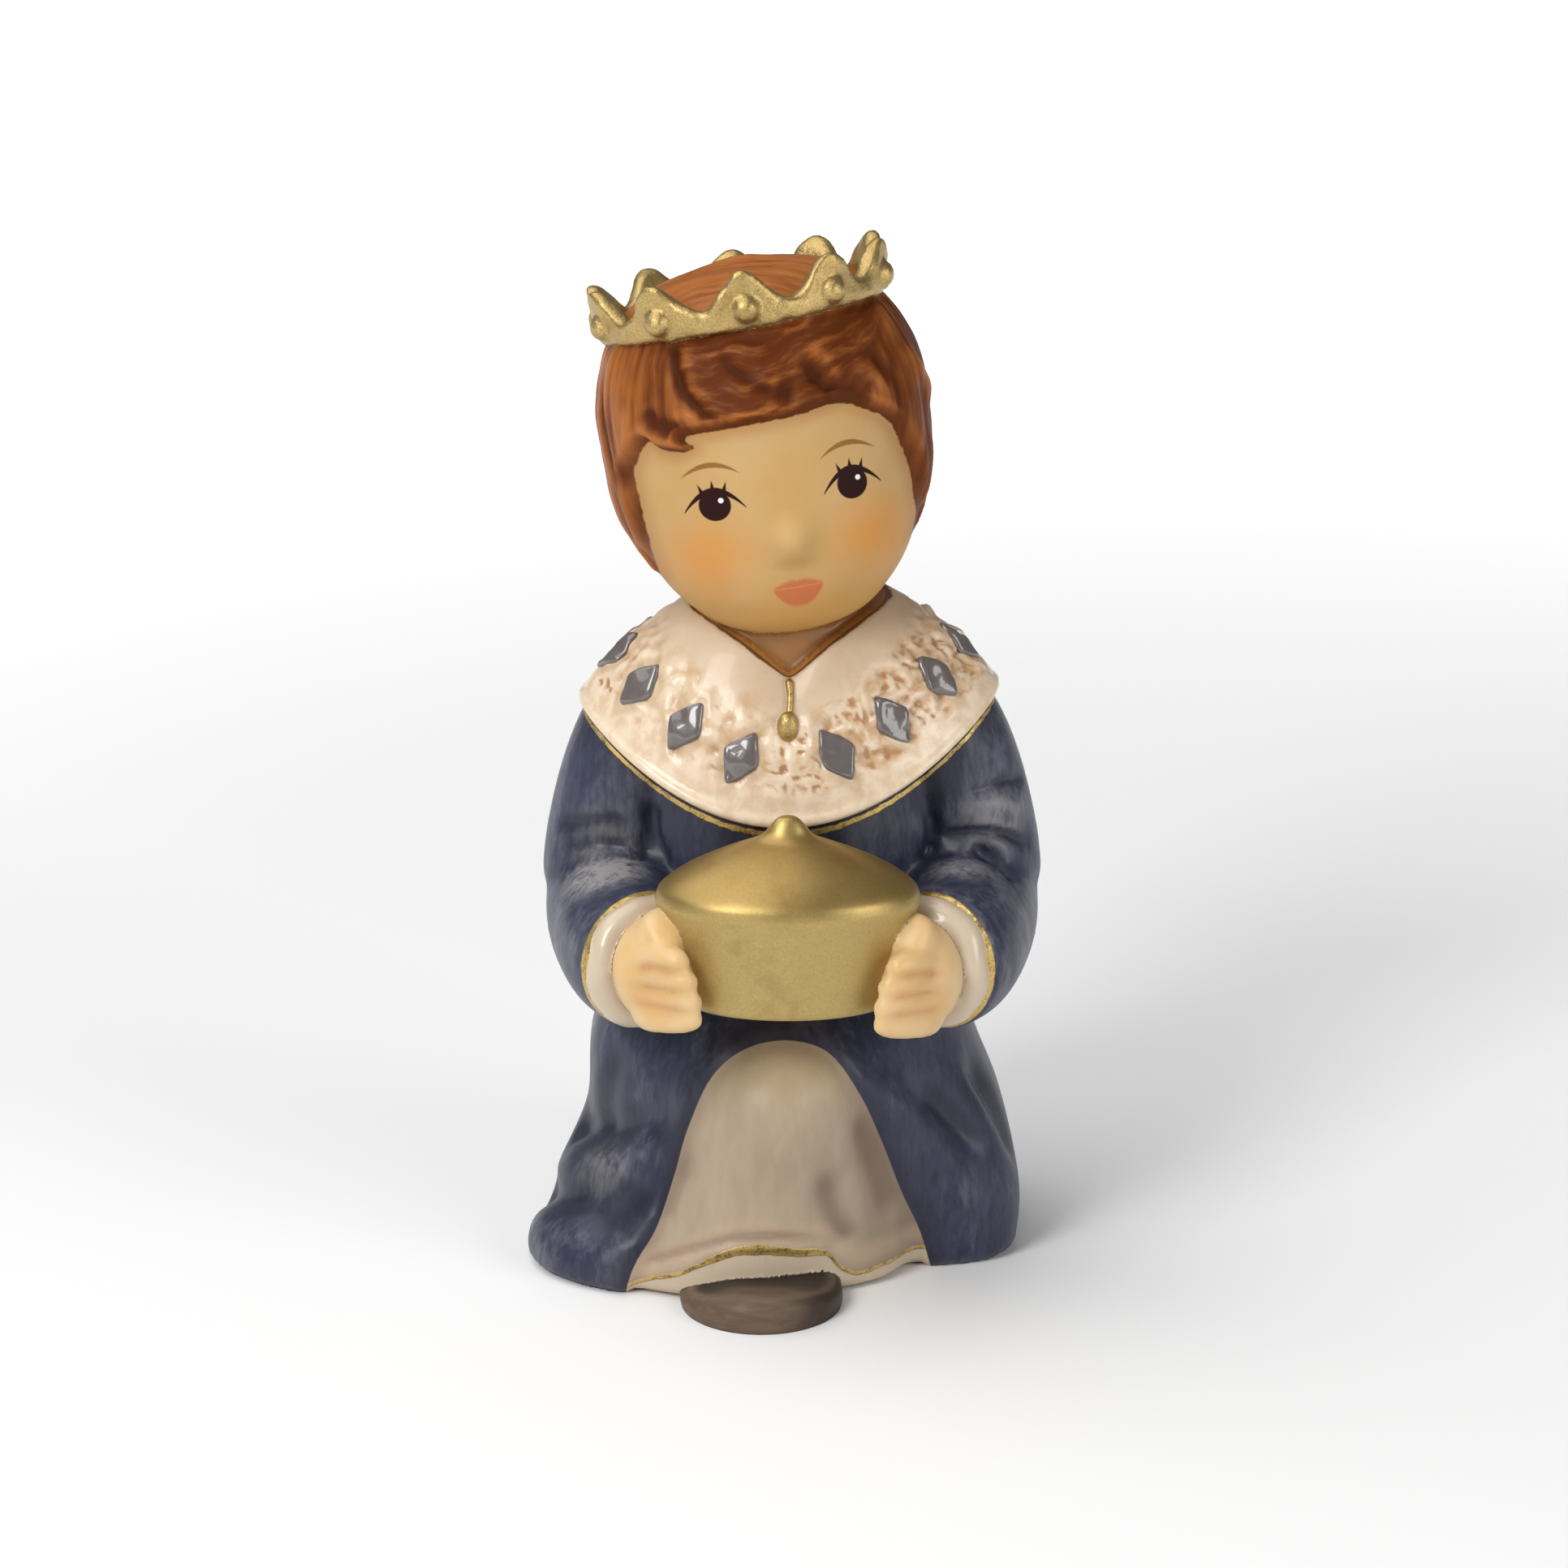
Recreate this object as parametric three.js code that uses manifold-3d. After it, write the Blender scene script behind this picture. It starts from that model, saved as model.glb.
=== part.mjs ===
// A kneeling wise man nativity figurine, slip-cast in ceramic as one piece. Sizes are in millimetres,
// +Z is up, the figure faces -Y, and the origin lies on the ground under the middle of the body.
import * as THREE from 'three';
import { mergeVertices } from 'three/addons/utils/BufferGeometryUtils.js';
import Module from 'manifold-3d';

const wasm = await Module();
wasm.setup();

const { cos, sin, PI, abs, sign, min, max, exp, hypot, atan2, acos, sqrt } = Math;
const DEGREE = PI / 180;

// Body. Each row is a height with the reach to the left, right, front and back.
const BODY = [
  [0, 17.4, 18.0, 14.8, 19.5],
  [6, 17.0, 18.4, 14.8, 18.2],
  [12, 16.3, 17.2, 13.8, 16.2],
  [18, 16.0, 15.0, 12.0, 14.2],
  [24, 14.0, 14.0, 10.0, 12.0],
  [31, 12.6, 12.6, 9.0, 10.5],
  [39, 12.2, 12.2, 8.8, 9.6],
  [46, 10.6, 10.6, 7.0, 8.4],
  [51, 7.0, 7.0, 5.5, 6.0],
];
const BODY_SQUARENESS = 2.3;
const BODY_TOP = 51;
const ROBE_TOP = 24.5;
const FOOT_ROUNDING = 0.8;

// Swellings of the body: direction in degrees from +X, spread, height, rise and reach.
const SWELLINGS = [
  { name: 'kneeling knee', turn: 206, spread: 30, height: 1.2, rise: 5.0, reach: 5.2 },
  { name: 'thigh on the left', turn: 190, spread: 30, height: 7.0, rise: 3.0, reach: 0.9 },
  { name: 'shin', turn: 258, spread: 28, height: 0.0, rise: 17.0, reach: 3.8 },
  { name: 'raised knee', turn: 269, spread: 27, height: 17.5, rise: 6.5, reach: 5.6 },
  { name: 'hollow beside the shin', turn: 318, spread: 13, height: 0.0, rise: 12.0, reach: -2.4 },
  { name: 'trailing foot', turn: 122, spread: 24, height: 1.5, rise: 5.0, reach: 1.8 },
  { name: 'coat corner', turn: 340, spread: 14, height: 2.5, rise: 7.0, reach: 1.2 },
];

// The coat stands proud of the robe and opens over the raised knee along this outline in X and Z.
const COAT_THICKNESS = 0.9;
const OPENING = [
  [-13.6, -3.0], [-12.6, 2.0], [-10.6, 5.6], [-9.2, 9.6], [-8.0, 14.0], [-6.2, 18.2], [-3.6, 20.6],
  [-0.3, 21.4], [3.0, 20.4], [5.4, 17.2], [7.3, 12.6], [8.9, 8.0], [10.6, 3.4], [12.2, -3.0],
];

// Folds of the coat and robe: a line of points, half the width, and the height or the depth.
const COAT_FOLDS = [
  // Left notch
  { line: [[-9, -15, 16], [-14.6, -10, 12.6], [-17.4, -2, 9.9]], width: 1.6, height: -1.0 },
  // Above the knee
  { line: [[-14.6, -12, 8.2], [-18, -8, 5.6], [-20.4, -2, 4.2]], width: 1.5, height: -1.1 },
  // First ridge on the right
  { line: [[7, -15, 20], [12.6, -11.6, 11], [15.2, -10, 4]], width: 1.4, height: 0.7 },
  // First valley on the right
  { line: [[10, -12, 19], [14.8, -9.6, 11], [17.2, -8, 4]], width: 1.3, height: -0.7 },
  // Second valley on the right
  { line: [[14.6, -6, 18], [17.8, -4.6, 12], [19, -3, 7]], width: 1.4, height: -0.9 },
  // Back left
  { line: [[-6, 12, 26], [-8, 17, 12], [-9, 20, 0]], width: 1.9, height: -1.1 },
  // Back middle
  { line: [[1, 13, 22], [1.4, 17.6, 10], [2, 21, 0]], width: 2.2, height: 1.0 },
  // Back right
  { line: [[8, 12, 26], [9.4, 16.6, 12], [11, 19, 0]], width: 1.9, height: -1.1 },
  // Left side
  { line: [[-14.4, 4, 22], [-17, 7, 11], [-17.4, 11, 0]], width: 1.8, height: -0.9 },
  // Right side
  { line: [[14.2, 5, 22], [17, 7.6, 12], [17.4, 10, 0]], width: 1.8, height: -0.9 },
];
const ROBE_FOLDS = [
  // Beside the knee
  { line: [[5.4, -17, 16], [6.8, -16, 10], [8.4, -13, 4]], width: 1.0, height: -0.7 },
  // By the shoe
  { line: [[3.4, -18, 9], [4.4, -17, 2]], width: 1.0, height: -0.7 },
  // Over the hem
  { line: [[-11, -15.5, 3.6], [-5, -18.4, 4.9]], width: 0.9, height: -0.5 },
];

// The sleeves, cuffs and hands are given for the right side and mirrored about a line in X.
const PAIR_MIDDLE = 0.25;
const HANDS_MIDDLE = -0.1;
// Points down the middle of the upper arm and of the forearm, with the radius at each.
const UPPER_ARM = [[9.2, 0.2, 46.6], [12.0, 0.4, 41], [14.1, 0.3, 34], [14.8, -0.4, 27.2]];
const UPPER_ARM_RADII = [5.2, 5.8, 5.7, 5.6];
const FOREARM = [[14.8, 3.0, 29.4], [13.9, -4, 28.2], [12.7, -11.4, 27.8], [11.0, -14.7, 27.9]];
const FOREARM_RADII = [5.2, 5.8, 5.6, 5.6];
const SLEEVE_FOLDS = [
  // Upper wrinkle
  { line: [[11, -5, 37], [16, -4, 37.4], [19, 0, 38]], width: 0.9, height: -0.5 },
  // Middle wrinkle
  { line: [[11, -6, 34], [16, -5, 34], [20, -1, 35]], width: 0.9, height: -0.6 },
  // Elbow wrinkle
  { line: [[15, -6, 32], [18.4, -5, 30], [20, -3, 28]], width: 0.9, height: -0.6 },
];
const CUFF_MIDDLE = [11.1, -14.5, 27.95];
const CUFF_RADIUS = 5.4;
const CUFF_DEPTH = 1.8;
const CUFF_TURN = 32;
const PALM_MIDDLE = [9.9, -17.4, 27.9];
const PALM_REACH = [3.7, 4.4, 4.4];
// Each finger, from the highest down: its height, radius and the X of its tip.
const FINGERS = [[29.9, 1.45, 8.0], [28.2, 1.55, 7.3], [26.5, 1.5, 6.9], [25.1, 1.3, 6.8]];
const FINGER_TIP_Y = -23.2;
// The left hand is held a little higher.
const LEFT_HAND_LIFT = 0.45;

// Lidded vessel: each row of the profile is a radius and a height above its foot.
const VESSEL_MIDDLE = [-0.1, -17.0, 25.5];
const VESSEL_DEPTH_SHARE = 0.66;
const VESSEL_PROFILE = [
  [0, 0], [7.8, 0], [8.6, 0.6], [9.3, 3.9], [10.1, 7.5], [10.4, 8.4], [9.6, 9.5], [6.6, 11.6],
  [3.2, 13.0], [1.8, 13.8], [1.25, 14.5], [0.7, 15.1], [0, 15.3],
];

// Collar: the neck opening, the outer edge and how far it bows out between them.
const COLLAR_NECK = { reach: 8.0, front: 8.4, back: 7.4, height: 54.0, dip: 4.6, spread: 0.52, point: 1.3 };
const COLLAR_EDGE = { reach: 16.5, front: 12.2, back: 12.0, height: 46.7, frontDrop: 7.6, backDrop: 5.4 };
const COLLAR_BOW = { side: 0.32, front: 0.42 };
// The collar sits a little lower on the left: rise for each millimetre to the right.
const COLLAR_TILT = 0.032;
// Diamonds on each side of the clasp, in degrees from the front.
const DIAMOND_TURNS = [15, 34.5, 57, 85, 111, 138, 165];
const DIAMOND_PLACE = { side: 0.6, front: 0.71 };
const DIAMOND_SIZE = [3.15, 4.75, 0.4];
const DIAMOND_LEAN = { side: -14, front: -25 };

// Neck and head. The head tips to the left, looks up and turns a little to the right.
const NECK_RADIUS = 6.6;
const HEAD_MIDDLE = [-1.8, -0.4, 67.4];
const HEAD_PITCH = -8;
const HEAD_ROLL = -8.5;
const HEAD_YAW = 4;
// Each row is a height on the head with its reach to the side, front and back.
const HEAD = [
  [-15.7, 0.6, 3.0, 0],
  [-14.9, 4.9, 7.6, 3.0],
  [-13.0, 7.7, 10.2, 6.4],
  [-10.0, 10.0, 11.7, 9.4],
  [-6.0, 11.4, 12.5, 11.8],
  [-1.0, 12.0, 12.6, 13.2],
  [4.0, 11.9, 12.0, 13.2],
  [8.4, 10.1, 10.0, 11.2],
  [11.6, 6.4, 6.4, 6.9],
  [12.9, 0.6, 0.6, 0.8],
];
const HEAD_TOP = 12.9;
const NOSE = { at: [0, -12.6, -7.4], width: 1.8, height: 0.95 };
const HAIR_THICKNESS = 1.15;
const HAIR_TAPER = [-11.5, -2];
const LOCKS = { around: 12, spacing: 5.2, depth: 0.35, sweep: 0.42 };
// Outline of the hair around the face, in the head's own X and Z.
const HAIRLINE = [
  [-4.0, -22], [-9.4, -12.0], [-10.4, -9.0], [-10.9, -5.0], [-11.1, -1.4], [-9.7, 1.2], [-7.2, 0.6],
  [-6.4, 1.8], [-0.8, 2.1], [5.8, 2.5], [8.2, 1.0], [9.9, -2.3], [10.4, -6.0], [9.9, -9.6], [4.0, -22],
];
// The hair ends under the ears, lower at the nape.
const HAIR_END = { height: -9.8, slope: 10 };

// Crown: ten points round a tipped ring, each with a stud.
const CROWN_MIDDLE = [-3.55, 0.9, 76.4];
const CROWN_RADIUS = 10.92;
const CROWN_THICKNESS = 1.6;
const CROWN_POINTS = 10;
const CROWN_VALLEY = 1.85;
const CROWN_TIP = 4.55;
const CROWN_FLARE = 1.0;
const CROWN_FIRST = -90 + 2.6;
const CROWN_PITCH = -7.5;
const CROWN_ROLL = -10.7;
const STUD = { radius: 1.05, proud: 0.85, height: 1.55 };

// Shoe under the hem.
const SHOE_MIDDLE = [-2.2, -16.6];
const SHOE_REACH = [6.4, 7.5, 2.55];
const SHOE_SLOPE = 0.38;

// Smooth values between rows whose first number is the key.
function trace(rows, key) {
  const last = rows.length - 1;
  const place = min(max(key, rows[0][0]), rows[last][0]);
  let i = 0;
  while (i < last - 1 && place > rows[i + 1][0]) i += 1;
  const low = rows[i];
  const high = rows[i + 1];
  const before = rows[max(i - 1, 0)];
  const after = rows[min(i + 2, last)];
  const gap = high[0] - low[0];
  const t = (place - low[0]) / gap;
  return low.slice(1).map((value, n) => {
    const rise = high[n + 1] - value;
    const leave = ((high[n + 1] - before[n + 1]) / (high[0] - before[0])) * gap;
    const arrive = ((after[n + 1] - value) / (after[0] - low[0])) * gap;
    const bend = 3 * rise - 2 * leave - arrive;
    const twist = leave + arrive - 2 * rise;
    return value + t * (leave + t * (bend + t * twist));
  });
}

// Angle between two directions in degrees, from -180 to 180.
function turnBetween(a, b) {
  return ((((a - b) % 360) + 540) % 360) - 180;
}

// Distance from a point to a line of points.
function distanceTo(line, point) {
  const at = new THREE.Vector3(...point);
  const nearest = new THREE.Vector3();
  const reaches = line.slice(1).map((end, i) => {
    const piece = new THREE.Line3(new THREE.Vector3(...line[i]), new THREE.Vector3(...end));
    piece.closestPointToPoint(at, true, nearest);
    return nearest.distanceTo(at);
  });
  return min(...reaches);
}

// Sum of the folds at a point, positive outwards.
function foldsAt(folds, point) {
  return folds.reduce((sum, { line, width, height }) => {
    const off = distanceTo(line, point) / width;
    return sum + height * exp(-off * off);
  }, 0);
}

// A closed body from a sphere: place(turn, level, end) gives each point, with the turn counted round +Z,
// the level going from 0 at the lowest ring to 1 at the highest, and end -1 or 1 at the two poles.
function moulded(around, up, place, relief) {
  const sphere = new THREE.SphereGeometry(1, around, up);
  sphere.deleteAttribute('normal');
  sphere.deleteAttribute('uv');
  sphere.rotateX(PI / 2);
  const geometry = mergeVertices(sphere, 1e-4);
  const points = geometry.attributes.position;
  for (let i = 0; i < points.count; i += 1) {
    const ring = Math.round((acos(-points.getZ(i)) / PI) * up);
    const end = ring === 0 ? -1 : ring === up ? 1 : 0;
    const level = min(max((ring - 1) / (up - 2), 0), 1);
    const turn = atan2(points.getY(i), points.getX(i));
    points.setXYZ(i, ...place(turn, level, end));
  }
  if (relief) raise(geometry, relief);
  return geometry;
}

// Moves each point along its normal by the relief there.
function raise(geometry, relief) {
  geometry.computeVertexNormals();
  const points = geometry.attributes.position;
  const normals = geometry.attributes.normal;
  for (let i = 0; i < points.count; i += 1) {
    const at = new THREE.Vector3().fromBufferAttribute(points, i);
    const out = new THREE.Vector3().fromBufferAttribute(normals, i);
    at.addScaledVector(out, relief(at.toArray()));
    points.setXYZ(i, at.x, at.y, at.z);
  }
  geometry.deleteAttribute('normal');
}

// A geometry as a solid that can be joined and cut.
function solid(geometry) {
  const bare = new THREE.BufferGeometry();
  const loose = geometry.index ? geometry.toNonIndexed() : geometry;
  bare.setAttribute('position', loose.attributes.position);
  const merged = mergeVertices(bare, 1e-4);
  return new wasm.Manifold(new wasm.Mesh({
    numProp: 3,
    vertProperties: merged.attributes.position.array,
    triVerts: new Uint32Array(merged.index.array),
  }));
}

// Distance of the body's surface from its axis, in one direction at one height.
function bodyReach(turn, height) {
  const [left, right, front, back] = trace(BODY, height);
  const across = abs(cos(turn)) / (cos(turn) > 0 ? right : left);
  const along = abs(sin(turn)) / (sin(turn) > 0 ? back : front);
  const base = (across ** BODY_SQUARENESS + along ** BODY_SQUARENESS) ** (-1 / BODY_SQUARENESS);
  return SWELLINGS.reduce((reach, lump) => {
    const aside = turnBetween(turn / DEGREE, lump.turn) / lump.spread;
    const above = (height - lump.height) / lump.rise;
    return reach + lump.reach * exp(-aside * aside - above * above);
  }, base);
}

// The body up to a height, set in from the coat's surface, with its folds standing out sideways.
function body(around, up, top, inset, folds) {
  return moulded(around, up, (turn, level, end) => {
    const height = level * top;
    if (end) return [0, 0, height];
    const rounding = FOOT_ROUNDING * max(0, 1 - height / FOOT_ROUNDING) ** 2;
    const plain = bodyReach(turn, height) - inset;
    const reach = plain - rounding + foldsAt(folds, [plain * cos(turn), plain * sin(turn), height]);
    return [reach * cos(turn), reach * sin(turn), height];
  });
}

// The coat with its opening cut away, and the robe filling the opening from behind.
function coatAndRobe() {
  const outline = new THREE.Shape();
  outline.moveTo(...OPENING[0]);
  outline.splineThru(OPENING.slice(1).map(([x, z]) => new THREE.Vector2(x, z)));
  const cutter = new THREE.ExtrudeGeometry(outline, { depth: 34, bevelEnabled: false, curveSegments: 3 });
  cutter.rotateX(PI / 2);
  cutter.translate(0, -3, 0);
  const coat = solid(body(42, 21, BODY_TOP, 0, COAT_FOLDS));
  const robe = solid(body(38, 9, ROBE_TOP, COAT_THICKNESS, ROBE_FOLDS));
  return coat.subtract(solid(cutter)).add(robe);
}

// A limb along a line of points with a radius at each, domed over the given share of its length.
function limb(line, radii, dome, around, up, relief) {
  const path = new THREE.CatmullRomCurve3(line.map((point) => new THREE.Vector3(...point)));
  const rows = radii.map((radius, i) => [i / (radii.length - 1), radius]);
  const side = new THREE.Vector3(0.3, 0.9, 0.5);
  return moulded(around, up, (turn, level, end) => {
    const middle = path.getPoint(level);
    const along = path.getTangent(level);
    const aside = side.clone().cross(along).normalize();
    const over = along.clone().cross(aside);
    const fromEnd = min(1, min(level, 1 - level) / max(dome, 1e-6) + 0.12);
    const radius = end ? 0 : trace(rows, level)[0] * sqrt(1 - (1 - fromEnd) ** 2);
    middle.addScaledVector(aside, radius * cos(turn)).addScaledVector(over, radius * sin(turn));
    return middle.toArray();
  }, relief);
}

function rightSleeve() {
  const wrinkles = (at) => foldsAt(SLEEVE_FOLDS, at);
  const upperArm = limb(UPPER_ARM, UPPER_ARM_RADII, 0.22, 14, 10, wrinkles);
  const forearm = limb(FOREARM, FOREARM_RADII, 0.08, 14, 8, wrinkles);
  return solid(upperArm).add(solid(forearm));
}

function ellipsoid(middle, reach, around, up) {
  return moulded(around, up, (turn, level, end) => {
    const lift = end ? end : -cos((PI * (level * (up - 2) + 1)) / up);
    const radius = sqrt(max(0, 1 - lift * lift));
    return [
      middle[0] + reach[0] * radius * cos(turn),
      middle[1] + reach[1] * radius * sin(turn),
      middle[2] + reach[2] * lift,
    ];
  });
}

function cuff() {
  const disc = ellipsoid([0, 0, 0], [CUFF_RADIUS, CUFF_RADIUS, CUFF_DEPTH], 14, 6);
  disc.rotateX(PI / 2);
  disc.rotateZ(-CUFF_TURN * DEGREE);
  disc.translate(...CUFF_MIDDLE);
  return disc;
}

// The right hand: a palm, four fingers round the vessel and a thumb up its side.
function rightHand() {
  const [x, y, z] = PALM_MIDDLE;
  let hand = solid(ellipsoid(PALM_MIDDLE, PALM_REACH, 10, 7));
  FINGERS.forEach(([height, radius, tip]) => {
    const knuckle = [x + 0.6, y - 2.6, height];
    const line = [[x + 1.0, y + 0.6, height], knuckle, [tip, FINGER_TIP_Y, height]];
    hand = hand.add(solid(limb(line, [radius, radius, radius * 0.85], 0.3, 5, 5)));
  });
  const thumb = [[x + 0.6, y + 0.4, z + 1.0], [x - 0.2, y - 1.2, z + 3.6], [x - 0.7, y - 2.0, z + 5.6]];
  return hand.add(solid(limb(thumb, [1.7, 1.6, 1.1], 0.3, 6, 6)));
}

function vessel() {
  const profile = VESSEL_PROFILE.map(([radius, height]) => new THREE.Vector2(radius, height));
  const turned = new THREE.LatheGeometry(profile, 24);
  turned.deleteAttribute('normal');
  turned.deleteAttribute('uv');
  turned.rotateX(PI / 2);
  turned.scale(1, VESSEL_DEPTH_SHARE, 1);
  turned.translate(...VESSEL_MIDDLE);
  return turned;
}

// A point of the collar: share 0 is the neck opening and 1 the outer edge.
function collarPoint(turn, share) {
  const c = cos(turn);
  const s = sin(turn);
  const neck = COLLAR_NECK;
  const edge = COLLAR_EDGE;
  const ahead = max(0, -s);
  const behind = max(0, s);
  const fromFront = acos(min(1, max(-1, -s)));
  const neckHeight = neck.height - neck.dip * exp(-((fromFront / neck.spread) ** neck.point));
  const inner = [neck.reach * c, (s > 0 ? neck.back : neck.front) * s, neckHeight];
  const outer = [
    edge.reach * c,
    (s > 0 ? edge.back : edge.front) * s,
    edge.height - edge.frontDrop * ahead ** 2.2 - edge.backDrop * behind ** 2.2,
  ];
  const bow = COLLAR_BOW.side + (COLLAR_BOW.front - COLLAR_BOW.side) * ahead;
  const out = share + bow * (sin((share * PI) / 2) - share);
  const down = share + bow * (1 - cos((share * PI) / 2) - share);
  const x = inner[0] + (outer[0] - inner[0]) * out;
  const y = inner[1] + (outer[1] - inner[1]) * out;
  return [x, y, inner[2] + (outer[2] - inner[2]) * down + COLLAR_TILT * x];
}

function collar() {
  return moulded(36, 9, (turn, level, end) => {
    if (end < 0) return [0, 0, 44];
    if (end > 0) return [0, 0, 51];
    const share = 1 - (level - 0.18) / 0.82;
    if (level < 0.18) {
      const [x, y, z] = collarPoint(turn, 1);
      const inward = level < 0.05 ? 1.8 : 0.25;
      const length = hypot(x, y);
      return [x - (inward * x) / length, y - (inward * y) / length, z - (level < 0.05 ? 0.6 : 0.9)];
    }
    return collarPoint(turn, max(share, 0));
  });
}

// One raised diamond of the collar, as a low pyramid with its top cut off.
function diamond(fromFront, side) {
  const turn = (-90 + side * fromFront) * DEGREE;
  const ahead = max(0, -sin(turn));
  const share = DIAMOND_PLACE.side + (DIAMOND_PLACE.front - DIAMOND_PLACE.side) * ahead ** 2;
  const lean = DIAMOND_LEAN.side + (DIAMOND_LEAN.front - DIAMOND_LEAN.side) * ahead ** 4;
  const step = 0.01;
  const at = new THREE.Vector3(...collarPoint(turn, share));
  const down = new THREE.Vector3(...collarPoint(turn, share + step)).sub(at).normalize();
  const aside = new THREE.Vector3(...collarPoint(turn + step, share)).sub(at).normalize();
  const out = down.clone().cross(aside).normalize();
  aside.crossVectors(out, down);
  const pad = new THREE.CylinderGeometry(0.78, 1, 2 * DIAMOND_SIZE[2], 4, 1);
  pad.scale(DIAMOND_SIZE[0] / 2, 1, DIAMOND_SIZE[1] / 2);
  pad.rotateY(side * lean * DEGREE);
  const frame = new THREE.Matrix4().makeBasis(aside, out, down).setPosition(at);
  pad.applyMatrix4(frame);
  return pad;
}

// The clasp: a cord down from the point of the neck opening with a drop at its end.
function clasp() {
  const top = collarPoint(-PI / 2, 0.02);
  const low = collarPoint(-PI / 2, 0.34);
  const line = [[top[0], top[1] - 0.1, top[2]], [low[0], low[1] - 0.2, low[2]]];
  const cord = solid(limb(line, [0.36, 0.32], 0, 5, 4));
  const drop = solid(ellipsoid([low[0], low[1] - 0.3, low[2] - 0.6], [0.8, 0.7, 1.3], 8, 6));
  return cord.add(drop);
}

function neck() {
  const [x, y] = HEAD_MIDDLE;
  const line = [[0, 0.3, 46], [0, 0.2, 49.5], [x * 0.3, y, 53.5], [x * 0.6, y, 60]];
  return limb(line, [8.4, 7.6, NECK_RADIUS, 6.4], 0, 18, 6);
}

// Turn and place of the head.
const headFrame = new THREE.Matrix4()
  .makeRotationFromEuler(new THREE.Euler(HEAD_PITCH * DEGREE, HEAD_ROLL * DEGREE, HEAD_YAW * DEGREE, 'ZXY'))
  .setPosition(...HEAD_MIDDLE);

function headForm(around, up, growAt, relief) {
  const low = HEAD[0][0];
  const high = HEAD[HEAD.length - 1][0];
  return moulded(around, up, (turn, level, end) => {
    const swing = (1 - cos(PI * level)) / 2;
    const height = low + (high - low) * swing;
    const [side, front, back] = trace(HEAD, height);
    const spread = 1 + growAt(height) / 12.5;
    const c = end ? 0 : cos(turn);
    const s = end ? 0 : sin(turn);
    return [side * c * spread, (s > 0 ? back : front) * s * spread, height * spread];
  }, relief);
}

function head() {
  const bump = (at) => NOSE.height * exp(-((distanceTo([NOSE.at, NOSE.at], at) / NOSE.width) ** 2));
  return headForm(22, 14, () => 0, bump).applyMatrix4(headFrame);
}

// How far across the locks a point of the head lies: they run down at the back and sides, and
// aslant over the forehead.
function lockPlace([x, y, z]) {
  const aslant = THREE.MathUtils.smoothstep(-y, 5, 10);
  const down = (LOCKS.around * atan2(x, -y)) / (2 * PI);
  return down + ((z - LOCKS.sweep * x) / LOCKS.spacing - down) * aslant;
}

// Hair: locks swept from the crown forwards and down, cut away over the face.
function hair() {
  const locks = (at) => LOCKS.depth * sin(2 * PI * lockPlace(at)) * min(1, (HEAD_TOP - at[2]) / 5);
  const thickness = (height) => HAIR_THICKNESS * THREE.MathUtils.smoothstep(height, ...HAIR_TAPER);
  const cap = headForm(36, 16, thickness, locks);
  const outline = new THREE.Shape();
  outline.moveTo(...HAIRLINE[0]);
  outline.splineThru(HAIRLINE.slice(1).map(([x, z]) => new THREE.Vector2(x, z)));
  const face = new THREE.ExtrudeGeometry(outline, { depth: 20, bevelEnabled: false, curveSegments: 2 });
  face.rotateX(PI / 2);
  face.translate(0, -1.5, 0);
  const below = new THREE.BoxGeometry(60, 60, 20);
  below.translate(0, 0, HAIR_END.height - 10);
  below.rotateX(-HAIR_END.slope * DEGREE);
  const cut = solid(cap).subtract(solid(face)).subtract(solid(below));
  return cut.transform(headFrame.elements);
}

// A low dome on the outside of the crown.
function stud(turn) {
  const dome = ellipsoid([0, 0, 0], [STUD.proud, STUD.radius, STUD.radius], 6, 4);
  dome.translate(CROWN_RADIUS + CROWN_THICKNESS / 2, 0, STUD.height);
  return dome.rotateZ(turn);
}

// The crown's ring from a torus, with points and outward flare.
function crown() {
  const ring = new THREE.TorusGeometry(1, 0.25, 5, CROWN_POINTS * 6);
  ring.deleteAttribute('normal');
  ring.deleteAttribute('uv');
  const band = mergeVertices(ring, 1e-4);
  const points = band.attributes.position;
  for (let i = 0; i < points.count; i += 1) {
    const turn = atan2(points.getY(i), points.getX(i));
    const out = (hypot(points.getX(i), points.getY(i)) - 1) / 0.25;
    const up = points.getZ(i) / 0.25;
    const point = 0.5 + 0.5 * cos((turn - CROWN_FIRST * DEGREE) * CROWN_POINTS);
    const height = CROWN_VALLEY + (CROWN_TIP - CROWN_VALLEY) * point;
    const lift = (height / 2) * (1 + sign(up) * abs(up) ** 0.6);
    const radius = CROWN_RADIUS + (CROWN_THICKNESS / 2) * out + CROWN_FLARE * (lift / CROWN_TIP) ** 2;
    points.setXYZ(i, radius * cos(turn), radius * sin(turn), lift);
  }
  let whole = solid(band);
  for (let i = 0; i < CROWN_POINTS; i += 1) {
    const turn = (CROWN_FIRST + (i * 360) / CROWN_POINTS) * DEGREE;
    whole = whole.add(solid(stud(turn)));
  }
  const frame = new THREE.Matrix4()
    .makeRotationFromEuler(new THREE.Euler(CROWN_PITCH * DEGREE, CROWN_ROLL * DEGREE, 0, 'ZXY'))
    .setPosition(...CROWN_MIDDLE);
  return whole.transform(frame.elements);
}

function shoe() {
  return moulded(18, 7, (turn, level, end) => {
    const height = level * SHOE_REACH[2];
    const radius = end ? 0 : (1 - (height / (SHOE_REACH[2] * 1.06)) ** 2.4) ** 0.5;
    const x = SHOE_MIDDLE[0] + SHOE_REACH[0] * radius * cos(turn);
    const y = SHOE_MIDDLE[1] + SHOE_REACH[1] * radius * sin(turn);
    return [x, y, height * (1 - SHOE_SLOPE * THREE.MathUtils.smoothstep(-x, 3.5, 9))];
  });
}

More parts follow.
